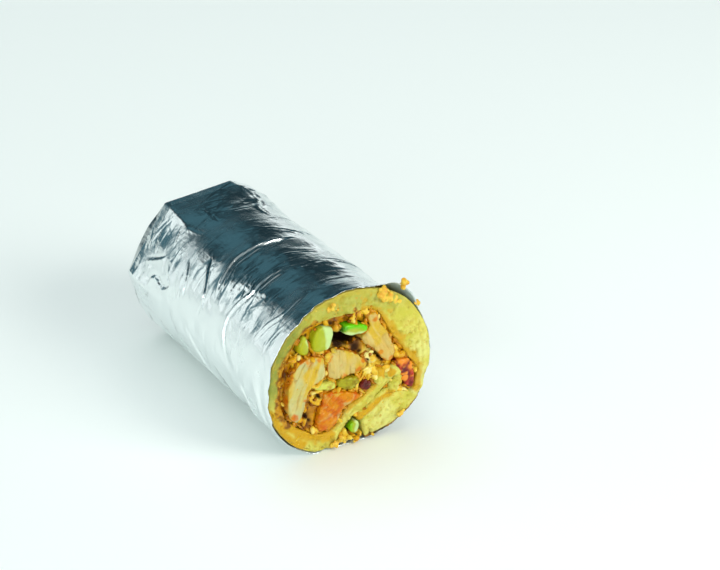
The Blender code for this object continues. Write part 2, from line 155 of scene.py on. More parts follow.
def along_line(a, b, line):
    """Distance from a line of places, signed distance and the share of its length."""
    line = np.array(line, float)
    near = np.full(a.shape, 1e9)
    side, along = np.zeros(a.shape), np.zeros(a.shape)
    done, whole = 0.0, np.hypot(*np.diff(line, axis=0).T).sum()
    for (a0, b0), (a1, b1) in zip(line, line[1:]):
        length = math.hypot(a1 - a0, b1 - b0)
        ta, tb = (a1 - a0) / length, (b1 - b0) / length
        run = np.clip((a - a0) * ta + (b - b0) * tb, 0, length)
        off_a, off_b = a - a0 - run * ta, b - b0 - run * tb
        gap = np.hypot(off_a, off_b)
        closer = gap < near
        near = np.where(closer, gap, near)
        side = np.where(closer, np.sign(ta * off_b - tb * off_a) * gap, side)
        along = np.where(closer, (done + run) / whole, along)
        done += length
    return near, side, along


def rounded(line):
    """A line with its corners cut off twice, so that it bends softly."""
    line = np.array(line, float)
    for _ in range(2):
        cuts = np.stack([0.75 * line[:-1] + 0.25 * line[1:], 0.25 * line[:-1] + 0.75 * line[1:]], 1)
        line = np.vstack([line[:1], cuts.reshape(-1, 2), line[-1:]])
    return line


def pleat(a, s, places, height, width):
    """A raised lip with a groove beside it along a line of places, fading at its ends."""
    line = rounded([(math.radians(d) * FOIL_ARC, t) for d, t in places])
    side, along = along_line(a, s, line)[1:]
    fade = soft_step(0.0, 0.22, along) * soft_step(0.0, 0.22, 1 - along)
    lip = np.exp(-(side / width) ** 2) - 0.55 * np.exp(-((side + 1.5 * width) / width) ** 2)
    drape = 0.35 * np.exp(-np.abs(side - 1.0) / 3.5) * (side > 0)
    return height * fade * (lip + drape)


def sheet_relief(degrees, s):
    """How far the foil stands off its smooth round, in mm."""
    a = np.radians(degrees) * FOIL_ARC
    top = soft_step(66, 80, degrees) * soft_step(142, 128, degrees)
    side = soft_step(60, 30, degrees) + soft_step(160, 190, degrees)
    mouth = soft_step(82, 100, degrees) * soft_step(158, 140, degrees) * soft_step(20, 9, s)
    relief = 0.30 * facets(a, s, 14.0, 0.30, 3) + 0.26 * facets(a, s, 7.0, -0.45, 8)
    relief += 0.11 * facets(a, s, 3.4, 0.9, 12) + 0.07 * facets(a * 0.3, s, 1.8, 0.1, 14)
    relief *= 1 - 0.65 * top * soft_step(44, 60, s) + 0.8 * side
    relief += 0.34 * mouth * facets(a, s, 5.0, 0.4, 16)
    hem = soft_step(125, 150, degrees) * soft_step(13, 5, s)
    relief += 0.40 * hem * facets(a, s, 3.6, 0.2, 18)
    for height, width, places in PLEATS:
        relief += pleat(a, s, places, height, width)
    draw = np.random.default_rng(21)
    for _ in range(LOOSE_PLEATS):
        middle, back = draw.uniform(-80, 262), draw.uniform(3, 99)
        half, lean = draw.gamma(2.0, 3.0) / 0.52 + 5, draw.normal(0, 0.35)
        bow = draw.normal(0, 1.2)
        reach = half * 0.52 * lean
        places = [(middle - half, back - reach), (middle, back + bow), (middle + half, back + reach)]
        if lean > 0.75:
            places = [(middle - 4, back - 9), (middle, back), (middle + 3, back + 10)]
        relief += pleat(a, s, places, draw.uniform(0.03, 0.17), draw.uniform(0.25, 0.45))
    pressed = soft_step(-84, -66, degrees) * soft_step(-264, -248, -degrees)
    lowest = np.where(s < 10, -0.05, -0.32)
    return np.clip(relief + 0.18, lowest, 0.95) * pressed


def foil_place(degrees, share, s, wall, relief):
    """A point of the sheet once it is rolled, folded shut and pressed on the table."""
    radius = by_angle(FOIL_ROUND, degrees)
    radius = radius + by_angle(FLAP, degrees, 3.0) * np.clip(1 - s / 9.0, 0, 1) ** 1.7
    turn = np.radians(degrees)
    u, v = narrowed(radius * np.cos(turn), s, radius * np.sin(turn))
    edge = parcel_edge(degrees)
    edge = edge + np.where(edge > 0, 0.7 - 0.15 * np.clip(s - 95.0, 0, 5), 0.0)
    ramp = np.clip((s - 74.0) / 22.0, 0, 1)
    folded = (0.75 * ramp + 0.25 * soft_step(0, 1, ramp)) * (edge > 0)
    u = u + (edge * np.cos(turn) - u) * folded
    v = v + (edge * np.sin(turn) - v) * folded
    u, v = u + (relief - wall) * np.cos(turn), v + (relief - wall) * np.sin(turn)
    v = np.maximum(v, ROLL_V + wall)
    bulge = np.sin(np.pi * np.clip((degrees - 118) / 66, 0, 1)) ** 2 * (share < 0.99)
    s = s + 1.6 * bulge * share
    share = share * (1 + 0.025 * bulge)
    return u * share, s, v * share


def sheet_rows():
    """Rows from the folded end's middle, over the outside, round the rim and back inside:
    share of the radius, distance behind the cut, wall below the outside, share of relief."""
    cap = np.linspace(0, 1, CAP_ROWS, endpoint=False)
    shares = np.interp(cap, [0, 0.3, 0.6, 0.8, 0.92, 1], [0, 0.38, 0.76, 0.92, 0.975, 1.0])
    depths = np.interp(shares, [0, 0.24, 0.52, 0.80, 0.93, 1], [103.7, 103.7, 103.5, 103.1,
                                                              102.3, 100])
    rows = [(k, t, 0.0, k) for k, t in zip(shares, depths)]
    rows += [(1.0, t, 0.0, 1.0) for t in np.linspace(100, 0.9, BODY_ROWS)]
    rows += [(1.0, 0.9, 0.10, 1.0), (1.0, 1.5, 0.16, 0.9), (1.0, 2.2, 0.22, 0.8),
             (1.0, 3.0, 0.28, 0.7), (1.0, 4.0, 0.34, 0.5), (1.0, 5.2, 0.40, 0.3),
             (1.0, 6.5, WALL, 0.1)]
    rows += [(1.0, t, WALL, 0.0) for t in DEEP_ROWS]
    rows += [(0.9, 101.6, WALL, 0.0), (0.5, 102.9, WALL, 0.0), (0.0, 103.1, WALL, 0.0)]
    return np.array(rows)


def mark(piece, name, values):
    """Keeps a value for each vertex under a name that the material reads."""
    kept = piece.data.attributes.new(name, "FLOAT", "POINT")
    kept.data.foreach_set("value", np.clip(values, 0, 1).astype(np.float32))


def deselect_all():
    bpy.ops.object.select_all(action="DESELECT")


bpy.context.view_layer.update()
deselect_all()
rows = sheet_rows()
bpy.ops.mesh.primitive_grid_add(x_subdivisions=SHEET_COLUMNS, y_subdivisions=len(rows) - 1,
                                size=2)
foil = bpy.context.object
foil.name = foil.data.name = "foil_sheet"
flat = np.empty(len(foil.data.vertices) * 3)
foil.data.vertices.foreach_get("co", flat)
flat = flat.reshape(-1, 3)
row = np.rint((flat[:, 1] + 1) / 2 * (len(rows) - 1)).astype(int)
around = -90.0 + (flat[:, 0] + 1) / 2 * 360.0
share, back, wall, standing = rows[row].T
rim = 1.0 - soft_step(0, 5.0, back)
ragged = np.array([noise.noise(Vector((d / 6.0, 0.4, 1.0))) +
                   0.5 * noise.noise(Vector((d / 2.1, 2.4, 1.0))) for d in around])
lower_right = soft_step(-78, -60, around) * (1 - soft_step(-26, -12, around))
back = back + rim * (0.75 * ragged + 1.6 * lower_right)
stand_off = sheet_relief(around, back) * standing
u, s, v = foil_place(around, share, back, wall, stand_off)
creased = share < 0.985
spokes = np.zeros_like(u)
for corner in END_SPOKES:
    gap = np.abs((around - corner + 180) % 360 - 180)
    spokes += np.exp(-(np.radians(gap) * share * END_ARC / 1.1) ** 2)
tuck = 0.9 * (1 - soft_step(-0.4, 0.4, v - 3.0 - 0.15 * u)) * soft_step(0, 0.15, 0.93 - share)
crumple = 0.9 * np.abs(facets(u, v, 8.0, 0.5, 31)) + 0.4 * np.abs(facets(u, v, 3.5, 1.1, 40))
s = np.where(creased, s - (0.55 * spokes + tuck + crumple) * soft_step(0, 0.05, 0.985 - share), s)
foil.data.vertices.foreach_set("co", to_frame(u, s, v).ravel())
foil.data.update()
# Marks the inner wall, the foil's dull side, which also gets a painted reflection
mark(foil, "lining", (wall - 0.08) / 0.06)
bpy.ops.object.mode_set(mode="EDIT")
bpy.ops.mesh.select_all(action="SELECT")
bpy.ops.mesh.remove_doubles(threshold=1e-6)
bpy.ops.mesh.normals_make_consistent(inside=False)
bpy.ops.object.mode_set(mode="OBJECT")
bpy.ops.object.shade_smooth()


class Shade:
    """A value, colour or direction on its way through a material's nodes."""

    def __init__(self, tree, socket):
        self.tree, self.socket = tree, socket

    def add(self, kind, settings, sockets, out=0):
        """Any node: its settings first, then its sockets' values or links."""
        made = self.tree.nodes.new("ShaderNode" + kind)
        for key, value in settings.items():
            if key == "stops":
                first, last = made.color_ramp.elements
                first.position, first.color = value[0][0], (*value[0][1], 1)
                last.position, last.color = value[-1][0], (*value[-1][1], 1)
                for place, colour in value[1:-1]:
                    made.color_ramp.elements.new(place).color = (*colour, 1)
            else:
                setattr(made, key, value)
        for key, value in sockets.items():
            if isinstance(value, Shade):
                self.tree.links.new(value.socket, made.inputs[key])
            else:
                made.inputs[key].default_value = value
        return Shade(self.tree, made.outputs[out])

    def combine(self, operation, other, swap=False):
        pair = (other, self) if swap else (self, other)
        return self.add("Math", {"operation": operation}, {0: pair[0], 1: pair[1]})

    def __add__(self, other):
        return self.combine("ADD", other)

    def __sub__(self, other):
        return self.combine("SUBTRACT", other)

    def __rsub__(self, other):
        return self.combine("SUBTRACT", other, swap=True)

    def __mul__(self, other):
        return self.combine("MULTIPLY", other)

    __radd__, __rmul__ = __add__, __mul__

    def between(self, low, high):
        """A soft mask that goes from 0 at low to 1 at high."""
        return self.add("MapRange", {"interpolation_type": "SMOOTHSTEP"},
                        {"Value": self, "From Min": low, "From Max": high})

    def noise(self, scale, detail=3.0, rough=0.5):
        return self.add("TexNoise", {}, {"Vector": self, "Scale": scale, "Detail": detail,
                                         "Roughness": rough})

    def mark(self, name):
        """A value kept on the mesh under a name."""
        return self.add("Attribute", {"attribute_name": name}, {}, 2)

    def blotched(self, place, scale):
        """This mask with an uneven, blotchy edge."""
        return (self + place.noise(scale, 4.0) * 0.8 - 0.4).between(0.05, 0.95)

    def stretched(self, scale):
        return self.add("Mapping", {}, {"Vector": self, "Scale": scale})

    def paint(self, base, colour):
        """Where this mask is 1 the base colour gives way to the other colour."""
        return self.add("Mix", {"data_type": "RGBA"}, {"Factor": self, 6: base, 7: colour}, 2)

    def bump(self, strength, reach):
        return self.add("Bump", {}, {"Height": self, "Strength": strength, "Distance": reach})

    def feed(self, shader, socket):
        self.tree.links.new(self.socket, shader.inputs[socket])


def new_finish(name, colour, rough, **fixed):
    """A material, its shader with the fixed sockets set, and its Object coordinates."""
    material = bpy.data.materials.new(name)
    material.use_nodes = True
    tree = material.node_tree
    shader = tree.nodes["Principled BSDF"]
    shader.inputs["Base Color"].default_value = (*colour, 1.0)
    shader.inputs["Roughness"].default_value = rough
    for key, value in fixed.items():
        shader.inputs[key.replace("_", " ")].default_value = value
    place = Shade(tree, tree.nodes.new("ShaderNodeTexCoord").outputs["Object"])
    return material, shader, place


foil_finish, foil_shader, place = new_finish("crinkled_foil", (0.88, 0.93, 0.925), 0.2,
                                             Metallic=1.0)
# The inner wall is the foil's dull side: rougher, and painted a flat grey-blue with its metal turned down, a
# painted reflection of what it faces.
lining = place.mark("lining")
lining.paint((0.88, 0.93, 0.925, 1), (0.36, 0.46, 0.52, 1)).feed(foil_shader, "Base Color")
(1 - lining * 0.7).feed(foil_shader, "Metallic")
rough = place.noise(90, 4.0).between(0.35, 0.7) * 0.16 + lining * 0.25 + 0.13
rough.feed(foil_shader, "Roughness")
bent = place.add("VectorMath", {"operation": "MULTIPLY_ADD"},
                 {0: place.add("TexNoise", {}, {"Vector": place, "Scale": 160.0}, 1),
                  1: (0.004, 0.004, 0.004), 2: place})
crinkle = bent.add("TexVoronoi", {}, {"Vector": bent, "Scale": 210.0})
fine_crinkle = bent.add("TexVoronoi", {}, {"Vector": bent, "Scale": 520.0})
long_lines = place.stretched((1.0, 0.12, 1.0)).noise(900, 2.0)
(crinkle + fine_crinkle * 0.4 + long_lines * 0.4).bump(0.3, 0.0004).feed(foil_shader, "Normal")
foil.data.materials.append(foil_finish)
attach(foil, "root")
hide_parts("foil_wrap")

# The flatbread: one thick soft sheet of baked dough rolled round the filling, its inner
# end crossing the middle. The cut shows a moist crumb with pores, browned at the rim and
# stained by the sauce where it touches the filling. Its pores and left side are painted
# darker as painted shade, and its right and lower parts paler as painted light. Painted
# shade adds to the band along its inner edge and to the dark lower right rim by the foil.
BREAD_CELL, BREAD_BACK_FROM, BREAD_ARC = 0.62, 9.0, 28
WARM_GLOSS = (1.0, 0.85, 0.4, 1.0)
BUBBLES = 260
# The dark brown band along the bread's inner edge, where it meets the filling: sauce stain with painted
# shade in the crevice
INNER_STAIN = [(-13, 22.5), (-16.5, 20.5), (-19.5, 17.5), (-22.5, 13), (-24.8, 8), (-25.6, 2),
               (-25.6, -5), (-24.6, -9.5), (-22.5, -12.5)]
LOW_STAIN = [(-22.5, -13), (-17, -17.6), (-11.5, -20.3), (-7, -21)]
RIGHT_STAIN = [(6, 22.5), (10.5, 20.5), (14.5, 15.5), (18.5, 9), (21, 3.5), (24.5, 1),
               (26.3, -4), (25.5, -11)]
BAND_STAIN = [(17.5, -1.5), (12, -4.5), (9.5, -7.5), (4, -10.5), (-1.5, -14), (-5.5, -19)]
WEDGE_STAIN = [(3.5, -17.6), (7.5, -15.8), (12.5, -12.6), (16.5, -11)]
TOP_STREAK = [(1.4, 24.6), (2.4, 23.0), (3.6, 21.6), (5.0, 20.6)]
AMBER_RIM = [(-29, -8.5), (-26, -14), (-22, -18.5), (-18, -22)]
# Each amber stain's line, width in mm and strength
AMBER_LINES = [(AMBER_RIM, 2.6, 1.0), (RIGHT_STAIN, 1.8, 0.8), (BAND_STAIN, 1.2, 0.7),
               (WEDGE_STAIN, 1.4, 1.0), (LOW_STAIN, 2.0, 1.0)]
RED_LINE = [(-26.7, -1.5), (-26.4, -4.5), (-26.0, -8.0)]
AMBER_SPOTS = [(-7.5, 27.0, 2.4), (5.5, 26.4, 1.8), (15.4, 20.2, 1.2), (19.8, 7.5, 2.6),
               (13.5, 27.0, 2.6), (-10.5, -24.6, 1.6), (-3.5, -24.8, 1.6),
               (12.5, -1.5, 2.6), (15.5, -3.0, 1.6)]
# Paler patches toward the right and the bottom of the cut, painted light: across, up and radius in mm
LIGHT_SPOTS = [(13, -20, 7), (29, 2, 5), (27, -9, 5), (-1, -13, 3)]
# How wide the dark band on the lower right rim shows, browned crust with a painted shadow where the bread
# meets the foil: direction in degrees and mm
RIM_CRUST = [(-100, -0.6), (-92, 0.9), (-78, 1.5), (-62, 1.4), (-55, 1.0), (-44, 0.8), (-32, 0.8),
             (-24, -0.6)]


def grain(places, size, seed):
    """Soft random heights from -1 to 1; size is their spacing in mm, for each direction."""
    table = np.random.default_rng(seed).uniform(-1, 1, (32, 32, 32))
    scaled = places / np.asarray(size)
    cell = np.floor(scaled).astype(int)
    part = scaled - cell
    part = part * part * (3 - 2 * part)
    total = np.zeros(len(places))
    for corner in np.ndindex(2, 2, 2):
        weight = np.prod(np.where(corner, part, 1 - part), axis=1)
        i, j, k = ((cell + corner) % 32).T
        total += weight * table[i, j, k]
    return total


def near_line(places, line, width, ragged=0.35, edge=(1.5, 0.4)):
    """1 on a line across the cut and 0 away from it, with an uneven edge."""
    gap = along_line(places[:, 0], places[:, 2], line)[0]
    return soft_step(*edge, gap / width + ragged * grain(places, 1.6, 5))


def near_spots(places, spots, ragged=0.35):
    """1 inside round spots on the cut and 0 outside, with uneven edges."""
    found = np.zeros(len(places))
    for u, v, radius in spots:
        gap = np.hypot(places[:, 0] - u, places[:, 2] - v) / radius
        found = np.maximum(found, soft_step(1.3, 0.4, gap + ragged * grain(places, 1.3, 6)))
    return found


def fine_copy(node, name, cell, thin_from=8.0, keep=0.3):
    """A solid's own form as an even fine mesh, thinned out behind the part that shows."""
    deselect_all()
    solid = bpy.data.objects[node]
    solid.select_set(True)
    bpy.context.view_layer.objects.active = solid
    bpy.ops.object.duplicate()
    piece = bpy.context.object
    bpy.ops.object.parent_clear(type="CLEAR_KEEP_TRANSFORM")
    piece.name = piece.data.name = name
    piece.data.materials.clear()
    bpy.ops.object.mode_set(mode="EDIT")
    bpy.ops.mesh.select_all(action="SELECT")
    bpy.ops.mesh.remove_doubles(threshold=1e-6)
    bpy.ops.mesh.normals_make_consistent(inside=False)
    bpy.ops.object.mode_set(mode="OBJECT")
    if cell:
        fine = piece.modifiers.new("fine", "REMESH")
        fine.mode, fine.voxel_size = "VOXEL", cell * MM
        bpy.ops.object.modifier_apply(modifier=fine.name)
        back = piece.vertex_groups.new(name="back")
        deep = section(piece)[0][:, 1] > thin_from
        back.add(np.flatnonzero(deep).tolist(), 1.0, "REPLACE")
        thin = piece.modifiers.new("thin", "DECIMATE")
        thin.vertex_group = back.name
        thin.ratio = 1 - deep.mean() * (1 - keep)
        bpy.ops.object.modifier_apply(modifier=thin.name)
    bpy.ops.object.shade_smooth()
    return piece


def section(piece):
    """A piece's vertices as places on the roll in mm (across, back, up), and normals."""
    places = np.empty(len(piece.data.vertices) * 3)
    normals = np.empty_like(places)
    piece.data.vertices.foreach_get("co", places)
    piece.data.vertices.foreach_get("normal", normals)
    return places.reshape(-1, 3) / MM + (ROLL_U, ROLL_S, ROLL_V), normals.reshape(-1, 3)


def reshape(piece, places):
    piece.data.vertices.foreach_set("co", to_frame(*places.T).ravel())
    piece.data.update()


def refine_front(piece, cuts, deepest=2.5):
    """Divides the faces of the cut, which is what shows."""
    deselect_all()
    piece.select_set(True)
    bpy.context.view_layer.objects.active = piece
    centres = np.array([f.center.y / MM + ROLL_S for f in piece.data.polygons])
    facing = np.array([-f.normal.y for f in piece.data.polygons])
    piece.data.polygons.foreach_set("select", (facing > 0.2) & (centres < deepest))
    bpy.ops.object.mode_set(mode="EDIT")
    bpy.ops.mesh.select_mode(type="FACE")
    bpy.ops.mesh.subdivide(number_cuts=cuts)
    bpy.ops.object.mode_set(mode="OBJECT")


bread = fine_copy("flatbread", "soft_bread", BREAD_CELL, BREAD_BACK_FROM, 0.2)
refine_front(bread, 1)
places, normals = section(bread)
front = soft_step(0.1, 0.6, -normals[:, 1]) * soft_step(6, 2, places[:, 1])
angle = np.degrees(np.arctan2(places[:, 2], places[:, 0]))
from_axis = np.hypot(places[:, 0], places[:, 2])
rolled = np.stack([np.radians(np.abs(angle)) * BREAD_ARC, from_axis, places[:, 1]], -1)
warped = rolled + 0.7 * np.stack([grain(places, 1.9, seed) for seed in (51, 52, 53)], -1)
pores = np.clip(grain(warped, (1.5, 0.8, 1.0), 41) + 0.5 * grain(warped, 0.6, 42) - 0.35, 0, 1)
dents = np.zeros(len(places))
draw = np.random.default_rng(17)
for _ in range(BUBBLES):
    middle = draw.uniform(-30, 30, 2)
    size, depth = draw.uniform(0.35, 1.0), draw.uniform(0.25, 0.8)
    long = draw.uniform(1.0, 1.9)
    turn = math.atan2(middle[1], middle[0]) + math.pi / 2 + draw.normal(0, 0.4)
    du, dv = places[:, 0] - middle[0], places[:, 2] - middle[1]
    run = du * math.cos(turn) + dv * math.sin(turn)
    across = dv * math.cos(turn) - du * math.sin(turn)
    dents += depth * np.exp(-((run / long) ** 2 + across ** 2) / size ** 2)
swell = 0.30 * grain(places, 6.0, 43) + 0.14 * grain(places, 2.4, 44)
depth = front * (0.85 * pores + 0.9 * np.tanh(dents / 0.9) - swell)
rim_gap = by_angle(FOIL_ROUND, angle) - from_axis
outward = places * (1, 0, 1) / from_axis[:, None]
edge_gap = np.full(120, 9.0)
np.minimum.at(edge_gap, ((angle + 180) // 3).astype(int) % 120, rim_gap + 9.0 * (places[:, 1] > 4))
edge_gap = np.interp(angle, np.arange(-178.5, 180, 3), edge_gap, period=360)
spread = np.clip(edge_gap - 0.35, 0, 2.4) * soft_step(5.0, 0.8, rim_gap - edge_gap)
spread *= soft_step(7, 3, places[:, 1]) * soft_step(4.2, 2.8, edge_gap)
moved = places - normals * depth[:, None] + outward * spread[:, None]
moved[:, 2] = np.maximum(moved[:, 2], ROLL_V + 0.4)
reshape(bread, moved)
layers = grain(rolled, (9.0, 1.0, 3.0), 46) + 0.5 * grain(rolled, (4.0, 0.5, 3.0), 47)
mark(bread, "layer", soft_step(0.1, 0.7, layers))
skin = soft_step(1.5, 0.4, rim_gap + 0.5 * grain(places, 2.0, 45))
outside = soft_step(0.5, 0.2, -normals[:, 1]) * soft_step(3.5, 1.0, rim_gap)
mark(bread, "skin", np.maximum(0.35 * skin, 0.6 * outside))
crust_width = np.interp(angle, *np.transpose(RIM_CRUST)) + 0.4 * grain(places, 1.6, 48)
mark(bread, "crust", soft_step(0.3, -0.3, rim_gap - edge_gap - crust_width))
amber = 0.62 * near_spots(places, AMBER_SPOTS, 0.8)
for line, width, strength in AMBER_LINES:
    amber = np.maximum(amber, strength * near_line(places, line, width))
mark(bread, "amber", amber)
brown = np.maximum(near_line(places, INNER_STAIN, 1.3), near_line(places, TOP_STREAK, 0.7))
mark(bread, "brown", np.maximum(brown, near_line(places, RED_LINE, 1.0)))
# The pores and bubbles, by how deep they are pushed in; the material paints them darker as painted shade
mark(bread, "pore", np.clip(pores * 1.2 + dents, 0, 1) * front)
mark(bread, "light", near_spots(places, LIGHT_SPOTS, 0.6))
# The left side of the cut is painted a darker olive as painted shade; the top gets half as much
left_side = soft_step(-8, -22, places[:, 0]) * soft_step(-8, 4, places[:, 2])
mark(bread, "green", np.maximum(left_side, 0.5 * soft_step(17, 26, places[:, 2])))

bread_finish, bread_shader, place = new_finish(
    "soft_flatbread", (0.62, 0.56, 0.14), 0.5, Subsurface_Weight=0.25,
    Subsurface_Radius=(0.9, 0.7, 0.25), Subsurface_Scale=0.002, Specular_IOR_Level=0.25,
    Specular_Tint=(1.0, 0.95, 0.7, 1.0))
cloud = place.noise(260, 5.0, 0.6)
dough = cloud.between(0.35, 0.65).paint((0.54, 0.50, 0.060, 1), (0.66, 0.61, 0.13, 1))
# Painted light: paler patches toward the right and the bottom
dough = (place.mark("light") * 0.6).paint(dough, (0.72, 0.73, 0.25, 1))
# Painted shade: the left side darker olive, the top half as much
dough = (place.mark("green") * 0.85).paint(dough, (0.185, 0.225, 0.035, 1))
dough = (place.noise(330, 4.0, 0.6).between(0.52, 0.72) * 0.5).paint(dough, (0.55, 0.40, 0.03, 1))
dough = (place.mark("layer") * 0.4).paint(dough, (0.50, 0.38, 0.035, 1))
# Painted shade: the pores and bubbles darker brown
dough = (place.mark("pore") * 0.65).paint(dough, (0.42, 0.31, 0.03, 1))
dough = place.noise(900, 2.0).between(0.62, 0.75).paint(dough, (0.52, 0.34, 0.045, 1))
dough = place.mark("amber").blotched(place, 500).paint(dough, (0.58, 0.33, 0.010, 1))
# The dark brown of the inner band, the top streak and the red line; along the inner edge it is partly
# painted shade
stain = place.noise(520, 3.0).between(0.4, 0.62).paint((0.20, 0.07, 0.004, 1), (0.52, 0.25, 0.012, 1))
dough = place.mark("brown").blotched(place, 420).paint(dough, stain)
dough = place.mark("skin").blotched(place, 260).paint(dough, (0.56, 0.42, 0.075, 1))
# The dark band on the lower right rim: browned crust, going near black as a painted shadow at the foil's
# edge
crust = place.noise(240, 2.0).between(0.42, 0.58).paint((0.05, 0.028, 0.006, 1), (0.30, 0.13, 0.012, 1))
dough = place.mark("crust").blotched(place, 500).paint(dough, crust)
dough.feed(bread_shader, "Base Color")
(0.58 - place.mark("amber") * 0.25 - place.mark("brown") * 0.3).feed(bread_shader, "Roughness")
(place.noise(1500, 4.0, 0.6) + place.noise(480, 3.0) * 1.5).bump(0.45, 0.0005).feed(bread_shader, "Normal")
bread.data.materials.append(bread_finish)
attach(bread, "root")
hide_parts("flatbread")

# The chicken: four pieces of roast breast, cut across with the bread. Their fibres run
# along each slab and tear a little at the cut, and sauce has soaked into the edges.
MEAT_CELL = 0.42
CHICKEN = {
    "chicken_left": {"fibres": 66, "seed": 50, "tint": 0.0,
                     "sauce": [(-15.5, 9.8, 1.6), (-10.5, 1.0, 2.0), (-21.5, -9.2, 1.6),
                               (-12.5, 9.6, 1.2), (-17.2, -4.0, 1.0)]},
    "chicken_top": {"fibres": 100, "seed": 60, "tint": 0.6,
                    "sauce": [(-8.5, 8.6, 1.8), (-9.0, 4.0, 1.2), (3.5, 1.0, 2.0), (-2.0, 0.0, 1.6),
                              (5.0, 4.5, 1.0)]},
    "chicken_right": {"fibres": -60, "seed": 70, "tint": 0.9,
                      "sauce": [(5.5, 18.5, 1.8), (9.5, 18.8, 1.2), (12.0, 5.5, 1.2), (16.6, 2.0, 1.4)]},
    "chicken_sauced": {"fibres": 28, "seed": 80, "tint": 0.4,
                       "sauce": [(-6.5, -8.0, 3.2), (-9.5, -16.5, 3.2), (0.5, -7.5, 3.2),
                                 (-5, -12, 3.5), (-10.5, -7.5, 2.4), (-7.0, -18.5, 2.5)]}}

chicken_finish, chicken_shader, place = new_finish(
    "moist_chicken", (0.66, 0.56, 0.22), 0.4, Subsurface_Weight=0.22,
    Subsurface_Radius=(1.0, 0.6, 0.3), Subsurface_Scale=0.0018, Coat_Roughness=0.15,
    Coat_Weight=0.1, Specular_IOR_Level=0.3, Specular_Tint=WARM_GLOSS)
meat = place.noise(240, 3.0).between(0.3, 0.7).paint((0.48, 0.46, 0.20, 1), (0.54, 0.46, 0.14, 1))
meat = place.mark("tint").paint(meat, (0.60, 0.40, 0.095, 1))
meat = (place.mark("glaze") * 0.9).blotched(place, 260).paint(meat, (0.59, 0.39, 0.03, 1))
meat = (place.mark("strand") * 0.4).paint(meat, (0.62, 0.52, 0.20, 1))
# Painted shade: the clefts between the fibres are painted darker brown
meat = (place.mark("cleft") * 0.7).paint(meat, (0.46, 0.26, 0.04, 1))
orange = place.noise(330, 3.0).between(0.35, 0.65).paint((0.62, 0.22, 0.003, 1), (0.55, 0.11, 0.003, 1))
meat = place.mark("sauce").blotched(place, 520).paint(meat, orange)
meat.feed(chicken_shader, "Base Color")
(0.45 - place.mark("sauce") * 0.2).feed(chicken_shader, "Roughness")
place.noise(1300, 4.0, 0.6).bump(0.3, 0.0003).feed(chicken_shader, "Normal")

for node, meat_piece in CHICKEN.items():
    slab = fine_copy(node, node.replace("chicken", "breast"), MEAT_CELL)
    refine_front(slab, 1)
    places, normals = section(slab)
    front = soft_step(7, 3, places[:, 1])
    seed, turn = meat_piece["seed"], math.radians(meat_piece["fibres"])
    along = places[:, 0] * math.cos(turn) + places[:, 2] * math.sin(turn)
    across = places[:, 2] * math.cos(turn) - places[:, 0] * math.sin(turn)
    across = across + 0.5 * grain(places, 5.0, seed)
    fibre = np.stack([along, across, places[:, 1]], -1)
    strands = 0.20 * grain(fibre, (4.5, 0.75, 2.0), seed + 1)
    strands += 0.10 * grain(fibre, (2.2, 0.35, 1.2), seed + 2)
    cleft = np.clip(1 - np.abs(grain(fibre, (7.0, 1.9, 4.0), seed + 3)) / 0.13, 0, 1)
    cleft *= soft_step(-0.2, 0.3, grain(places, 4.0, seed + 4))
    streaks = 0.35 * grain(fibre, (6.0, 1.1, 4.0), seed + 8)
    lumps = 0.50 * grain(places, 3.2, seed + 5) + 0.22 * grain(places, 1.3, seed + 6)
    moved = front * (strands + lumps - 0.45 * cleft)
    reshape(slab, places + normals * moved[:, None])
    edge = 1 - np.clip(-normals[:, 1], 0, 1)
    soaked = 0.75 * edge + 0.4 * grain(places, 2.6, seed + 7) + streaks
    base = 0.75 if node == "chicken_sauced" else 0.05
    soaked = np.maximum(soft_step(0.20, 1.0, soaked + base), near_spots(places, meat_piece["sauce"], 0.6))
    mark(slab, "sauce", soaked * (1.0 if node == "chicken_sauced" else 0.75))
    mark(slab, "cleft", cleft)
    mark(slab, "strand", soft_step(0.0, 0.55, grain(fibre, (7.0, 0.75, 4.0), seed + 10)))
    mark(slab, "glaze", soft_step(-0.25, 0.6, grain(places, 5.0, seed + 9) + 0.9 * edge + streaks))
    mark(slab, "tint", np.full(len(places), meat_piece["tint"]))
    slab.data.materials.append(chicken_finish)
    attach(slab, "root")
    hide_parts(node)

# The cucumber: four cut pieces with wet, glassy flesh. The piece at the left and the
# slice over the pit show their skin, and the flesh of each gets paler away from it. On the
# wedge's right edge and the cube's right face, the paler band is painted light.
GREEN_CELL = 0.4
CUCUMBER = {
    "cucumber_rind": {"name": "cucumber_wedge", "skin": [(-19.9, 17.5), (-19.6, 12.5), (-18.6, 9.0)],
                      "reach": 3.4, "tone": 0.1, "reach_pale": 0.9,
                      "pale": [(-15.9, 17.3), (-14.7, 14.5), (-14.3, 11.5), (-14.8, 9.4)]},
    "cucumber_pale": {"name": "cucumber_cube", "square": 0.7,
                      "skin": [(-14.6, 20.8), (-15.2, 15.0), (-14.0, 9.6)],
                      "reach": 3.6, "tone": 0.15, "reach_pale": 2.2, "edge": -9.6,
                      "pale": [(-8.2, 21.5), (-7.6, 17.5), (-7.4, 13.5), (-7.9, 10.5)]},
    "cucumber_slice": {"name": "cucumber_round",
                       "skin": [(-4.6, 18.6), (0.0, 19.3), (4.0, 18.2), (7.0, 16.2)],
                       "reach": 1.9, "tone": 1.0, "reach_pale": 2.0,
                       "pale": [(-2.5, 15.0), (1.5, 13.7), (6.0, 13.4)]},
    "cucumber_low": {"name": "cucumber_bit", "skin": [(0.2, -21.5), (0.6, -18.0)],
                     "reach": 1.6, "tone": 0.7, "reach_pale": 1.0,
                     "pale": [(3.2, -16.8), (3.9, -19.5), (3.4, -22.0)]}}
DARK_TIP = [(-4.2, 18.4, 2.4)]

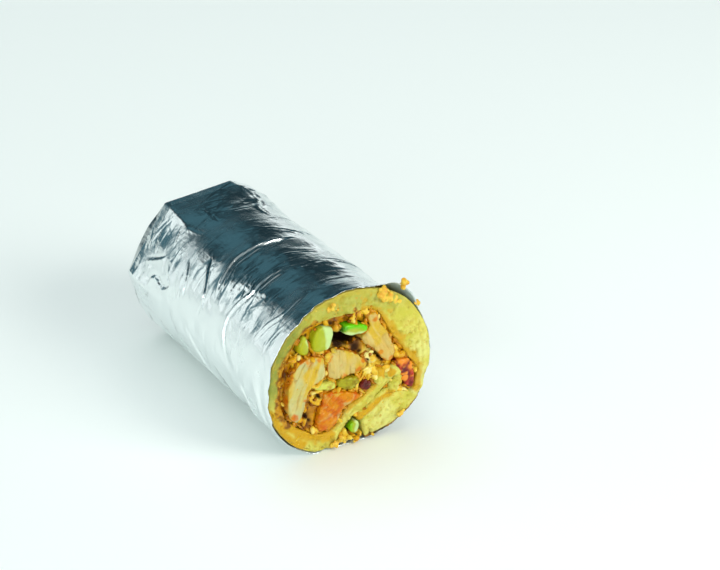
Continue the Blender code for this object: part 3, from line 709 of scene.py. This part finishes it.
cucumber_finish, cucumber_shader, place = new_finish(
    "wet_cucumber", (0.50, 0.62, 0.12), 0.22, Subsurface_Weight=0.35,
    Subsurface_Radius=(0.7, 1.0, 0.4), Subsurface_Scale=0.003, Coat_Weight=0.2,
    Coat_Roughness=0.06, Specular_IOR_Level=0.3, Specular_Tint=(0.7, 1.0, 0.3, 1.0))
flesh = place.noise(300, 2.0).between(0.3, 0.7).paint((0.35, 0.40, 0.018, 1), (0.42, 0.46, 0.045, 1))
# Paler flesh; on the wedge's right edge and the cube's right face this paler band is painted light
flesh = place.mark("pale").paint(flesh, (0.50, 0.65, 0.25, 1))
green = place.mark("tone").paint((0.44, 0.38, 0.008, 1), (0.12, 0.52, 0.001, 1))
flesh = place.mark("skin").paint(flesh, green)
flesh = place.mark("dark").paint(flesh, (0.035, 0.13, 0.006, 1))
flesh.feed(cucumber_shader, "Base Color")
place.noise(700, 2.0).bump(0.15, 0.0003).feed(cucumber_shader, "Normal")

for seed, (node, cut) in enumerate(CUCUMBER.items(), 90):
    green_piece = fine_copy(node, cut["name"], GREEN_CELL)
    places, normals = section(green_piece)
    front = soft_step(7, 3, places[:, 1])
    moved = front * (0.22 * grain(places, 3.0, seed) + 0.06 * grain(places, 0.9, seed + 10))
    slant = 0.25 * np.maximum(places[:, 0] - cut.get("edge", 99.0), 0) * front
    middle = (places.min(0) + places.max(0)) / 2
    across = (places - middle) * (1, 0, 1)
    share = np.abs(across[:, ::2]) / (np.hypot(across[:, 0], across[:, 2])[:, None] + 1e-6)
    squarer = cut.get("square", 0.0) * ((share ** 4).sum(1) ** -0.25 - 1)
    squared = places + across * squarer[:, None]
    reshape(green_piece, squared + normals * moved[:, None] + np.outer(slant, (0, 1, 0)))
    mark(green_piece, "skin", near_line(places, cut["skin"], cut["reach"] * 0.75, 0.12))
    mark(green_piece, "pale", near_line(places, cut["pale"], cut["reach_pale"], 0.15, (1.25, 0.85)))
    mark(green_piece, "tone", np.full(len(places), cut["tone"]))
    dark = near_spots(places, DARK_TIP, 0.3)
    mark(green_piece, "dark", dark * (node == "cucumber_slice"))
    green_piece.data.materials.append(cucumber_finish)
    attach(green_piece, "root")
    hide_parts(node)

# The pickled pepper and the onion strip: two soft cooked bits in the middle, glassy and
# wet, under the upper slab of chicken.
BIT_CELL = 0.35
SOFT_BITS = {"pepper_olive": {"name": "pickled_pepper", "slot": "olive_green",
                              "light": (0.34, 0.32, 0.01, 1), "deep": (0.24, 0.16, 0.004, 1)},
             "onion_strip": {"name": "soft_onion", "slot": "onion",
                             "light": (0.56, 0.60, 0.10, 1), "deep": (0.44, 0.28, 0.02, 1)}}

for seed, (node, bit) in enumerate(SOFT_BITS.items(), 120):
    soft = fine_copy(node, bit["name"], BIT_CELL)
    places, normals = section(soft)
    front = soft_step(6, 3, places[:, 1])
    moved = front * (0.45 * grain(places, (2.4, 2.0, 1.1), seed) + 0.2 * grain(places, 0.9, seed + 9))
    reshape(soft, places + normals * moved[:, None])
    bit_finish, bit_shader, place = new_finish(
        bit["name"], bit["light"][:3], 0.25, Subsurface_Weight=0.3,
        Subsurface_Radius=(0.8, 0.7, 0.2), Subsurface_Scale=0.002, Coat_Weight=0.2,
        Coat_Roughness=0.08, Specular_IOR_Level=0.3, Specular_Tint=WARM_GLOSS)
    place.noise(420, 3.0).between(0.42, 0.68).paint(bit["light"], bit["deep"]).feed(bit_shader, "Base Color")
    place.noise(900, 2.0).bump(0.25, 0.0003).feed(bit_shader, "Normal")
    soft.data.materials.append(bit_finish)
    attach(soft, "root")
    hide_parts(node)

# The charred bits: grilled edges of meat and pepper, dark red and glistening, with
# orange, lighter crests where the sauce dried.
CHAR_CELL = 0.33
CHARRED = {"char_mid": "charred_bit", "char_side": "charred_edge"}
ORANGE_CRESTS = [(20.8, 1.0, 2.9), (24.3, -2.6, 2.0), (21.3, -6.4, 1.4)]

char_finish, char_shader, place = new_finish("charred_glaze", (0.12, 0.02, 0.012), 0.15,
                                             Coat_Weight=0.28, Coat_Roughness=0.05, Specular_IOR_Level=0.2,
                                             Specular_Tint=(1.0, 0.5, 0.4, 1.0))
burnt = place.noise(380, 3.0).between(0.35, 0.7).paint((0.11, 0.008, 0.008, 1), (0.50, 0.035, 0.010, 1))
burnt = place.mark("dark").paint(burnt, (0.045, 0.004, 0.006, 1))
burnt = place.mark("crest").blotched(place, 600).paint(burnt, (0.78, 0.26, 0.018, 1))
burnt.feed(char_shader, "Base Color")
place.noise(800, 3.0).bump(0.7, 0.0005).feed(char_shader, "Normal")

for seed, (node, name) in enumerate(CHARRED.items(), 140):
    burnt_bit = fine_copy(node, name, CHAR_CELL)
    places, normals = section(burnt_bit)
    front = soft_step(6, 3, places[:, 1])
    rough = 0.55 * np.abs(grain(places, (2.4, 2.0, 1.6), seed)) + 0.28 * grain(places, 1.1, seed + 5)
    reshape(burnt_bit, places + normals * (front * (rough - 0.15))[:, None])
    crest = soft_step(0.15, 0.45, rough) * (0.75 if node == "char_side" else 0.12)
    high = near_spots(places, ORANGE_CRESTS, 0.5)
    mark(burnt_bit, "crest", np.maximum(crest, high))
    mark(burnt_bit, "dark", np.full(len(places), 0.75 if node == "char_mid" else 0.0))
    burnt_bit.data.materials.append(char_finish)
    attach(burnt_bit, "root")
    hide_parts(node)

# The loose filling: a bed of chopped chicken, onion and sauce between the larger pieces.
# Its own core is made finer at the cut, and shreds and crumbs of meat lie on it, stuck
# together by the sauce. Holes stay open between them; they, the pit and the mix further
# behind the cut are painted near black as painted shade.
SHREDS, LUMPS, GAP_BITS, TORN_BITS = 330, 300, 80, 90
SHRED_CELL, TORN_CELL, LOW_CELL = 0.27, 0.3, 0.4
# Holes between the bits, painted near black as painted shade: across, up and radius in mm
HOLES = [(3.0, 8.9, 2.0), (4.5, 7.2, 1.2), (10.4, 5.2, 1.0), (12.0, 3.4, 1.3), (13.4, 1.6, 1.0),
         (-15.4, -11.8, 1.2), (-14.2, -14.0, 0.9), (-14.9, -1.0, 0.7), (-10.9, -5.4, 0.9),
         (17.4, 0.8, 0.7), (-6.6, 20.6, 0.9), (-15.9, 18.5, 0.7), (6.8, 4.0, 0.6)]
# Zones where the mix and the sauce are painted darker: painted shade round the holes and along the bread's
# inner edge, and darker sauce at the lower left
DARK_ZONES = [(-24.3, 6.5, 3.0), (-22.8, 11.5, 2.6), (-25.0, -0.5, 2.6), (-14.5, -10.0, 5.5),
              (-17.0, -14.5, 3.0), (1.0, 22.5, 3.0), (-6.0, 20.8, 2.2), (-22.5, -10.0, 2.5),
              (3.2, 8.6, 3.0), (11.5, 4.2, 2.6), (17.5, 1.0, 2.0)]
PALE_ZONES = [(8.5, 6.5, 4.5), (9.0, 1.5, 4.0), (2.5, 20.8, 1.8), (-12.9, -5.0, 1.8),
              (17.0, -5.5, 4.5), (20.0, -9.0, 3.0), (12.5, -3.0, 3.5), (-19.0, 10.8, 2.0)]
SEAMS = [[(-9.0, 10.4), (-8.6, 7.5), (-8.8, 4.0), (-9.0, 1.0)],
         [(-15.0, 10.6), (-9.5, 11.6), (-4.0, 11.4)]]
# The open pit under the cucumber slice, painted near black as painted shade
OPEN_PIT = [(-2.5, 14.2, 3.4), (1.8, 13.2, 2.4), (-5.2, 15.5, 2.2), (5.0, 12.6, 1.4),
            (-3.5, 12.9, 2.2), (-0.5, 12.5, 2.0)]
MIX_NODES = ("filling_mix", "shreds_low")
# Where bits are laid, across and up: over the filling, in the bottom gap, on the torn end
FILLING_AREA, GAP_AREA = ((-26, 27), (-26, 24)), ((-5.0, 5.5), (-24.5, -15.5))
TORN_AREA = ((11.5, 21.5), (-10.5, -1.5))
LOW_CUCUMBER = [(1.9, -20.0, 3.4)]
WEDGE_START, WEDGE_RUN, WEDGE_BITS = (4.5, -17.4), (10.0, 6.6), 16
MIX_FORMS = {"shred": {"long": (1.3, 3.2), "wide": (0.42, 0.8)},
             "lump": {"long": (0.9, 1.8), "wide": (0.75, 1.4)}}


def face_hit(u, v, view=None):
    """What shows at a place on the cut: its name and how far behind the cut it lies."""
    start = Vector(((u - ROLL_U) * MM, -0.09, (v - ROLL_V) * MM))
    view = view or bpy.context.evaluated_depsgraph_get()
    found, where, _, _, thing, _ = bpy.context.scene.ray_cast(view, start, Vector((0, 1, 0)))
    return (thing.name, where.y / MM + ROLL_S) if found else ("", 99.0)


def in_spots(u, v, spots):
    return any(math.hypot(u - a, v - b) < radius for a, b, radius in spots)


def clump(name, bits, cell, bend, rounds=2):
    """Bits, each with a place, half sizes and turns, bent and grown together by the sauce."""
    deselect_all()
    bpy.ops.mesh.primitive_ico_sphere_add(subdivisions=2, radius=MM, location=to_frame(*bits[0][0]),
                                          rotation=bits[0][2], scale=bits[0][1])
    body = bpy.context.object
    body.name = body.data.name = name
    bpy.ops.object.transform_apply(location=True, rotation=True, scale=True)
    bpy.ops.object.mode_set(mode="EDIT")
    for where, half_sizes, turns in bits[1:]:
        bpy.ops.mesh.primitive_ico_sphere_add(subdivisions=2, radius=MM, location=to_frame(*where),
                                              rotation=turns, scale=half_sizes)
    bpy.ops.object.mode_set(mode="OBJECT")
    places = section(body)[0]
    sway = np.stack([grain(places, 2.6, seed) for seed in (201, 202, 203)], -1)
    reshape(body, places + bend * sway)
    fuse = body.modifiers.new("fuse", "REMESH")
    fuse.mode, fuse.voxel_size = "VOXEL", cell * MM
    bpy.ops.object.modifier_apply(modifier=fuse.name)
    soften = body.modifiers.new("soften", "SMOOTH")
    soften.factor, soften.iterations = 0.5, rounds
    bpy.ops.object.modifier_apply(modifier=soften.name)
    bpy.ops.object.shade_smooth()
    return body


def nearest_share(places, centres, shares):
    """For each place the share that its nearest bit was given."""
    from_centres = KDTree(len(centres))
    for index, centre in enumerate(centres):
        from_centres.insert(centre, index)
    from_centres.balance()
    return np.array([shares[from_centres.find(place)[1]] for place in places])


def mix_mark(body, tones):
    """Tones of the mix, darker round its holes as painted shade, and its holes, pit and deeper parts painted
    near black as painted shade.
    """
    places, normals = section(body)
    tones = tones - 0.30 * near_spots(places, DARK_ZONES, 0.5) + 0.40 * near_spots(places, PALE_ZONES, 0.5)
    mark(body, "tone", tones + 0.12 * grain(places, 1.4, 210))
    # Painted shade: the mix more than a few mm behind the cut, the holes and the pit are painted near black
    deep = soft_step(2.6, 6.0, places[:, 1])
    pit = near_spots(places, [(u, v, 1.5 * radius) for u, v, radius in OPEN_PIT], 0.2)
    mark(body, "hole", np.maximum(np.maximum(near_spots(places, HOLES, 0.2), deep), pit))


core = fine_copy("filling_mix", "filling_core", None)
refine_front(core, 3, 14.0)
places, normals = section(core)
front = soft_step(16, 12, places[:, 1]) * (-normals[:, 1] > 0.2)
lumpy = 0.55 * grain(places, 2.6, 211) + 0.3 * np.abs(grain(places, (2.0, 2.0, 0.9), 212))
reshape(core, places + normals * (front * lumpy)[:, None])
mix_mark(core, 0.38 + 0.25 * grain(section(core)[0], 2.2, 213))

draw = np.random.default_rng(31)
bits = []
for kind in ["shred"] * SHREDS + ["lump"] * LUMPS:
    u, v = [draw.uniform(*limits) for limits in FILLING_AREA]
    name, back = face_hit(u, v)
    if name not in (*MIX_NODES, core.name) or back > 6 or in_spots(u, v, HOLES + OPEN_PIT):
        continue
    form = MIX_FORMS[kind]
    long, wide = draw.uniform(*form["long"]), draw.uniform(*form["wide"])
    lift = draw.uniform(-0.2, 1.5)
    bits.append(((u, back - lift, v), (long, wide, wide * draw.uniform(0.7, 1.0)),
                 (draw.normal(0, 0.3), draw.uniform(-math.pi / 2, math.pi / 2), draw.normal(0, 0.35))))
for seam in SEAMS:
    for (u0, v0), (u1, v1) in zip(seam, seam[1:]):
        for share in np.arange(0, 1, 0.9 / math.hypot(u1 - u0, v1 - v0)):
            u = u0 + share * (u1 - u0) + draw.normal(0, 0.4)
            v = v0 + share * (v1 - v0) + draw.normal(0, 0.4)
            back = min(face_hit(u, v)[1], 1.5) - draw.uniform(-0.5, 0.2)
            bits.append(((u, back, v), draw.uniform(0.7, 1.3, 3), draw.uniform(0, 3, 3)))
for _ in range(GAP_BITS):
    u, v = [draw.uniform(*limits) for limits in GAP_AREA]
    name, back = face_hit(u, v)
    if (back > 1.5 or name == "foil_sheet") and not in_spots(u, v, LOW_CUCUMBER):
        bits.append(((u, draw.uniform(1.2, 3.6), v), draw.uniform(0.8, 1.6, 3), draw.uniform(0, 3, 3)))
shreds = clump("meat_shreds", bits, SHRED_CELL, 0.4, 6)
places = section(shreds)[0]
tones = nearest_share(places, [where for where, _, _ in bits], draw.uniform(0.22, 0.78, len(bits)))
reshape(shreds, places + section(shreds)[1] * (0.09 * grain(places, 0.7, 214))[:, None])
mix_mark(shreds, tones)

mix_finish, mix_shader, place = new_finish(
    "sauced_shreds", (0.5, 0.22, 0.02), 0.3, Subsurface_Weight=0.15,
    Subsurface_Radius=(1.0, 0.5, 0.15), Subsurface_Scale=0.0015, Coat_Roughness=0.12,
    Specular_IOR_Level=0.3, Specular_Tint=WARM_GLOSS)
tone = place.mark("tone") + place.noise(650, 3.0) * 0.3 - 0.15
meat = tone.add("ValToRGB", {"stops": [(0.0, (0.16, 0.042, 0.001)), (0.22, (0.46, 0.18, 0.002)),
                                       (0.42, (0.66, 0.34, 0.006)), (0.68, (0.76, 0.52, 0.045)),
                                       (1.0, (0.80, 0.69, 0.22))]}, {0: tone})
# Painted shade: holes, pit and deeper parts near black
meat = place.mark("hole").paint(meat, (0.022, 0.004, 0.002, 1))
meat.feed(mix_shader, "Base Color")
(0.3 - place.mark("hole") * 0.3).feed(mix_shader, "Coat Weight")
(place.noise(500, 2.0) * 0.3 + place.mark("hole") * 0.5 + 0.15).feed(mix_shader, "Roughness")
place.noise(1400, 3.0, 0.6).bump(0.35, 0.0003).feed(mix_shader, "Normal")
torn = []
for _ in range(TORN_BITS):
    u, v = [draw.uniform(*limits) for limits in TORN_AREA]
    name, back = face_hit(u, v)
    if name in (*MIX_NODES, core.name) and back < 8:
        torn.append(((u, draw.uniform(0.3, 1.3), v), draw.uniform(1.3, 2.2, 3), draw.uniform(0, 3, 3)))
for share in np.linspace(0, 1, WEDGE_BITS):
    u, v = [start + run * share + draw.normal(0, 0.3) for start, run in zip(WEDGE_START, WEDGE_RUN)]
    torn.append(((u, 1.1, v), draw.uniform(1.0, 1.7, 3), draw.uniform(0, 3, 3)))
torn_end = clump("torn_bread_end", torn, TORN_CELL, 0.4, 4)
places, normals = section(torn_end)
pores = np.clip(grain(places, 0.9, 230) + 0.5 * grain(places, 0.5, 231) - 0.35, 0, 1)
reshape(torn_end, places - normals * (0.5 * pores - 0.2 * grain(places, 2.0, 232))[:, None])
# The torn end's pores get the same painted shade
mark(torn_end, "pore", pores)
amber = np.maximum(near_line(places, WEDGE_STAIN, 1.3), 0.6 * near_line(places, RIGHT_STAIN, 2.0))
mark(torn_end, "amber", np.maximum(amber, near_spots(places, AMBER_SPOTS, 0.6)))
torn_end.data.materials.append(bread_finish)
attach(torn_end, "root")
core.data.materials.append(mix_finish)
shreds.data.materials.append(mix_finish)
low_shreds = fine_copy("shreds_low", "low_shreds", LOW_CELL)
places, normals = section(low_shreds)
front = soft_step(6, 3, places[:, 1])
reshape(low_shreds, places + normals * (front * 0.45 * grain(places, (2.2, 2.0, 1.0), 215))[:, None])
mix_mark(low_shreds, 0.62 + 0.3 * grain(places, 2.0, 216))
low_shreds.data.materials.append(mix_finish)
for body, nodes in ((core, ["filling_mix"]), (low_shreds, ["shreds_low"]), (shreds, [])):
    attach(body, "root")
    if nodes:
        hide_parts(*nodes)

# The sauce: a thick orange sauce that has filled the narrow gaps between the pieces and
# stands in beads in them. It is laid wherever the cut drops sharply beside a piece.
SAUCE_TRIES, SAUCE_CELL, GAP_REACH, LEAST_DROP = 5200, 0.3, 0.9, 0.7
SAUCE_AREA, SAUCE_ROUND = ((-27, 28), (-23, 25)), 27
DRY_SPOTS = HOLES + OPEN_PIT + [(2, -21, 6.0), (24, 22, 7.0), (16, -12, 3.0)]

bits = []
view = bpy.context.evaluated_depsgraph_get()
for _ in range(SAUCE_TRIES):
    u, v = [draw.uniform(*limits) for limits in SAUCE_AREA]
    back = face_hit(u, v, view)[1]
    beside = [face_hit(u + a, v + b, view)[1] for a, b in ((GAP_REACH, 0), (-GAP_REACH, 0),
                                                          (0, GAP_REACH), (0, -GAP_REACH))]
    level = max(sorted(beside)[1], -1.0)
    inside = math.hypot(u, v) < SAUCE_ROUND and not in_spots(u, v, DRY_SPOTS)
    if inside and back - level > LEAST_DROP:
        bits.append(((u, level + draw.uniform(0.7, 1.3), v), draw.uniform(0.5, 0.8, 3),
                     draw.uniform(0, 3, 3)))
sauce = clump("thick_sauce", bits, SAUCE_CELL, 0.15, 9)
places, normals = section(sauce)
reshape(sauce, places + normals * (0.12 * grain(places, 1.1, 240))[:, None])
# The sauce is painted darker in the same zones, mostly painted shade
mark(sauce, "tone", 0.36 + 0.3 * grain(places, 3.5, 241) - 0.25 * near_spots(places, DARK_ZONES, 0.5))
sauce_finish, sauce_shader, place = new_finish(
    "thick_sauce", (0.60, 0.25, 0.004), 0.22, Subsurface_Weight=0.2,
    Subsurface_Radius=(1.0, 0.45, 0.1), Subsurface_Scale=0.0015, Coat_Weight=0.25,
    Specular_IOR_Level=0.3, Specular_Tint=WARM_GLOSS)
tone = place.mark("tone") + place.noise(500, 3.0) * 0.4 - 0.2
tone.add("ValToRGB", {"stops": [(0.0, (0.20, 0.05, 0.001)), (0.3, (0.50, 0.19, 0.002)),
                                (0.6, (0.66, 0.34, 0.006)), (1.0, (0.70, 0.46, 0.03))]},
         {0: tone}).feed(sauce_shader, "Base Color")
place.noise(700, 2.0).bump(0.2, 0.0003).feed(sauce_shader, "Normal")
sauce.data.materials.append(sauce_finish)
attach(sauce, "root")

# The crumbs: toasted bread and dried sauce, in a cluster on the upper right rim, on the
# foil's flap, and strewn over the cut and its lower edge.
CRUMB_CLUSTERS = [(12.2, 27.4, -1.0, 1.6), (12.0, 28.6, -0.5, 1.0), (14.3, 26.2, -1.0, 1.5),
                  (16.0, 24.6, -0.9, 1.4), (17.4, 22.9, -0.6, 1.0), (13.2, 24.9, -0.9, 1.0),
                  (12.8, 28.0, -0.1, 1.0),
                  (21.2, 28.0, 0.9, 1.3), (20.6, 28.4, 0.9, 0.9),
                  (26.4, 19.8, 1.1, 0.9), (26.9, 18.8, 1.2, 0.6), (-6.6, 27.1, -0.5, 1.2),
                  (-5.4, 26.2, -0.5, 0.7), (-4.9, -24.6, -0.2, 1.1), (-6.4, -25.0, 0.0, 0.8),
                  (-1.0, -25.3, 0.3, 0.7), (2.6, -25.7, 0.2, 0.7), (19.6, -20.4, -0.2, 0.9),
                  (21.2, -19.4, 0.0, 0.7), (9.5, -25.4, 0.0, 0.6), (-2.8, -22.8, 0.2, 0.8)]
CLUSTER_BITS, STREWN, CRUMB_CELL = 5, 70, 0.2
CRUMB_AREA = ((-29, 30), (-25, 29))
CRUMBED = ("soft_bread", "breast_left", "breast_top", "breast_right", "breast_sauced")

bits = []
for u, v, back, radius in CRUMB_CLUSTERS:
    for _ in range(CLUSTER_BITS):
        off = draw.normal(0, 0.5, 3) * radius
        half = radius * draw.uniform(0.55, 0.85, 3)
        bits.append(((u + off[0], back + 0.5 * off[1], v + off[2]), half, draw.uniform(0, 3, 3)))
for _ in range(STREWN):
    u, v = [draw.uniform(*limits) for limits in CRUMB_AREA]
    name, back = face_hit(u, v)
    if name in CRUMBED:
        bits.append(((u, back - 0.05, v), draw.uniform(0.16, 0.42, 3), draw.uniform(0, 3, 3)))
crumbs = clump("toasted_crumbs", bits, CRUMB_CELL, 0.1, 5)
places, normals = section(crumbs)
moved = places + normals * (0.07 * grain(places, 0.7, 220))[:, None]
moved[:, 2] = np.maximum(moved[:, 2], ROLL_V)
reshape(crumbs, moved)
crumb_finish, crumb_shader, place = new_finish("toasted_crumb", (0.66, 0.42, 0.04), 0.55,
                                               Subsurface_Weight=0.15, Subsurface_Scale=0.001)
place.noise(500, 3.0).between(0.35, 0.68).paint((0.80, 0.56, 0.05, 1), (0.68, 0.34, 0.015, 1)).feed(
    crumb_shader, "Base Color")
place.noise(1800, 4.0).bump(0.5, 0.0003).feed(crumb_shader, "Normal")
crumbs.data.materials.append(crumb_finish)
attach(crumbs, "root")

# Floor, light and camera: a plain pale table, soft lights from the front and from above,
# and a pale room that is dark high up, which is what the foil mirrors.
FLOOR_SIZE, FLOOR_DROP = 6.0, 0.0002
deselect_all()
bpy.ops.mesh.primitive_plane_add(size=FLOOR_SIZE, location=(0, 0, -FLOOR_DROP))
floor = bpy.context.object
floor.name = "floor"
floor.data.materials.append(new_finish("pale_table", (0.90, 0.945, 0.915), 0.6)[0])

world = bpy.data.worlds.new("pale_room")
world.use_nodes = True
bpy.context.scene.world = world
sky = world.node_tree.nodes["Background"]
way = Shade(world.node_tree, world.node_tree.nodes.new("ShaderNodeTexCoord").outputs["Generated"])
across, height = way.add("SeparateXYZ", {}, {0: way}), way.add("SeparateXYZ", {}, {0: way}, 2)
depth_way = way.add("SeparateXYZ", {}, {0: way}, 1)
dark_above = (height + across * 0.30 + way.noise(2.6, 2.0) * 0.10 - 0.05).between(0.27, 0.40)
behind = depth_way.between(0.84, 0.89) * height.between(-0.08, 0.02)
dark = (dark_above * (depth_way.between(-0.75, -0.1) * 0.3 + 0.7)).combine("MAXIMUM", behind)
deep = way.noise(3.0, 2.0).between(0.4, 0.65).paint((0.015, 0.035, 0.045, 1), (0.06, 0.15, 0.19, 1))
pale = way.noise(6.5, 3.0).between(0.40, 0.52).paint((0.56, 0.70, 0.71, 1), (1.14, 1.22, 1.22, 1))
dark.paint(pale, deep).feed(sky, "Color")
sky.inputs["Strength"].default_value = 0.9


def soft_light(name, where, target, size, power, colour):
    """A square soft box that faces a point of the object."""
    lamp = bpy.data.lights.new(name, "AREA")
    lamp.size, lamp.energy, lamp.color = size, power, colour
    stand = bpy.data.objects.new(name, lamp)
    bpy.context.scene.collection.objects.link(stand)
    stand.location = where
    stand.rotation_mode = "QUATERNION"
    aim = Vector(target) - Vector(where)
    stand.rotation_quaternion = aim.to_track_quat("-Z", "Y")
    return stand


soft_light("front_right", (0.45, -0.75, 0.55), (0, -0.05, 0.03), 0.5, 6.1, (1.0, 0.97, 0.92))
soft_light("front_left", (-0.8, -0.7, 0.45), (0, -0.05, 0.03), 0.6, 3.0, (0.95, 1.0, 1.0))
soft_light("ceiling", (0.0, 0.45, 1.5), (0, 0.05, 0), 2.2, 22.0, (0.97, 1.0, 1.0)).visible_glossy = False

lens = bpy.data.cameras.new("photo_view")
lens.lens, lens.sensor_width = 125.0, 36.0
lens.clip_start, lens.clip_end = 0.01, 20.0
camera = bpy.data.objects.new("photo_view", lens)
bpy.context.scene.collection.objects.link(camera)
look, up = Vector((0.464696, 0.752948, -0.465969)), Vector((0.228964, 0.406165, 0.884650))
turn = Matrix((look.cross(up), up, -look)).transposed().to_4x4()
camera.matrix_world = Matrix.Translation((-0.37213, -0.65875, 0.43520)) @ turn
bpy.context.scene.camera = camera
bpy.context.scene.view_settings.view_transform = "Standard"
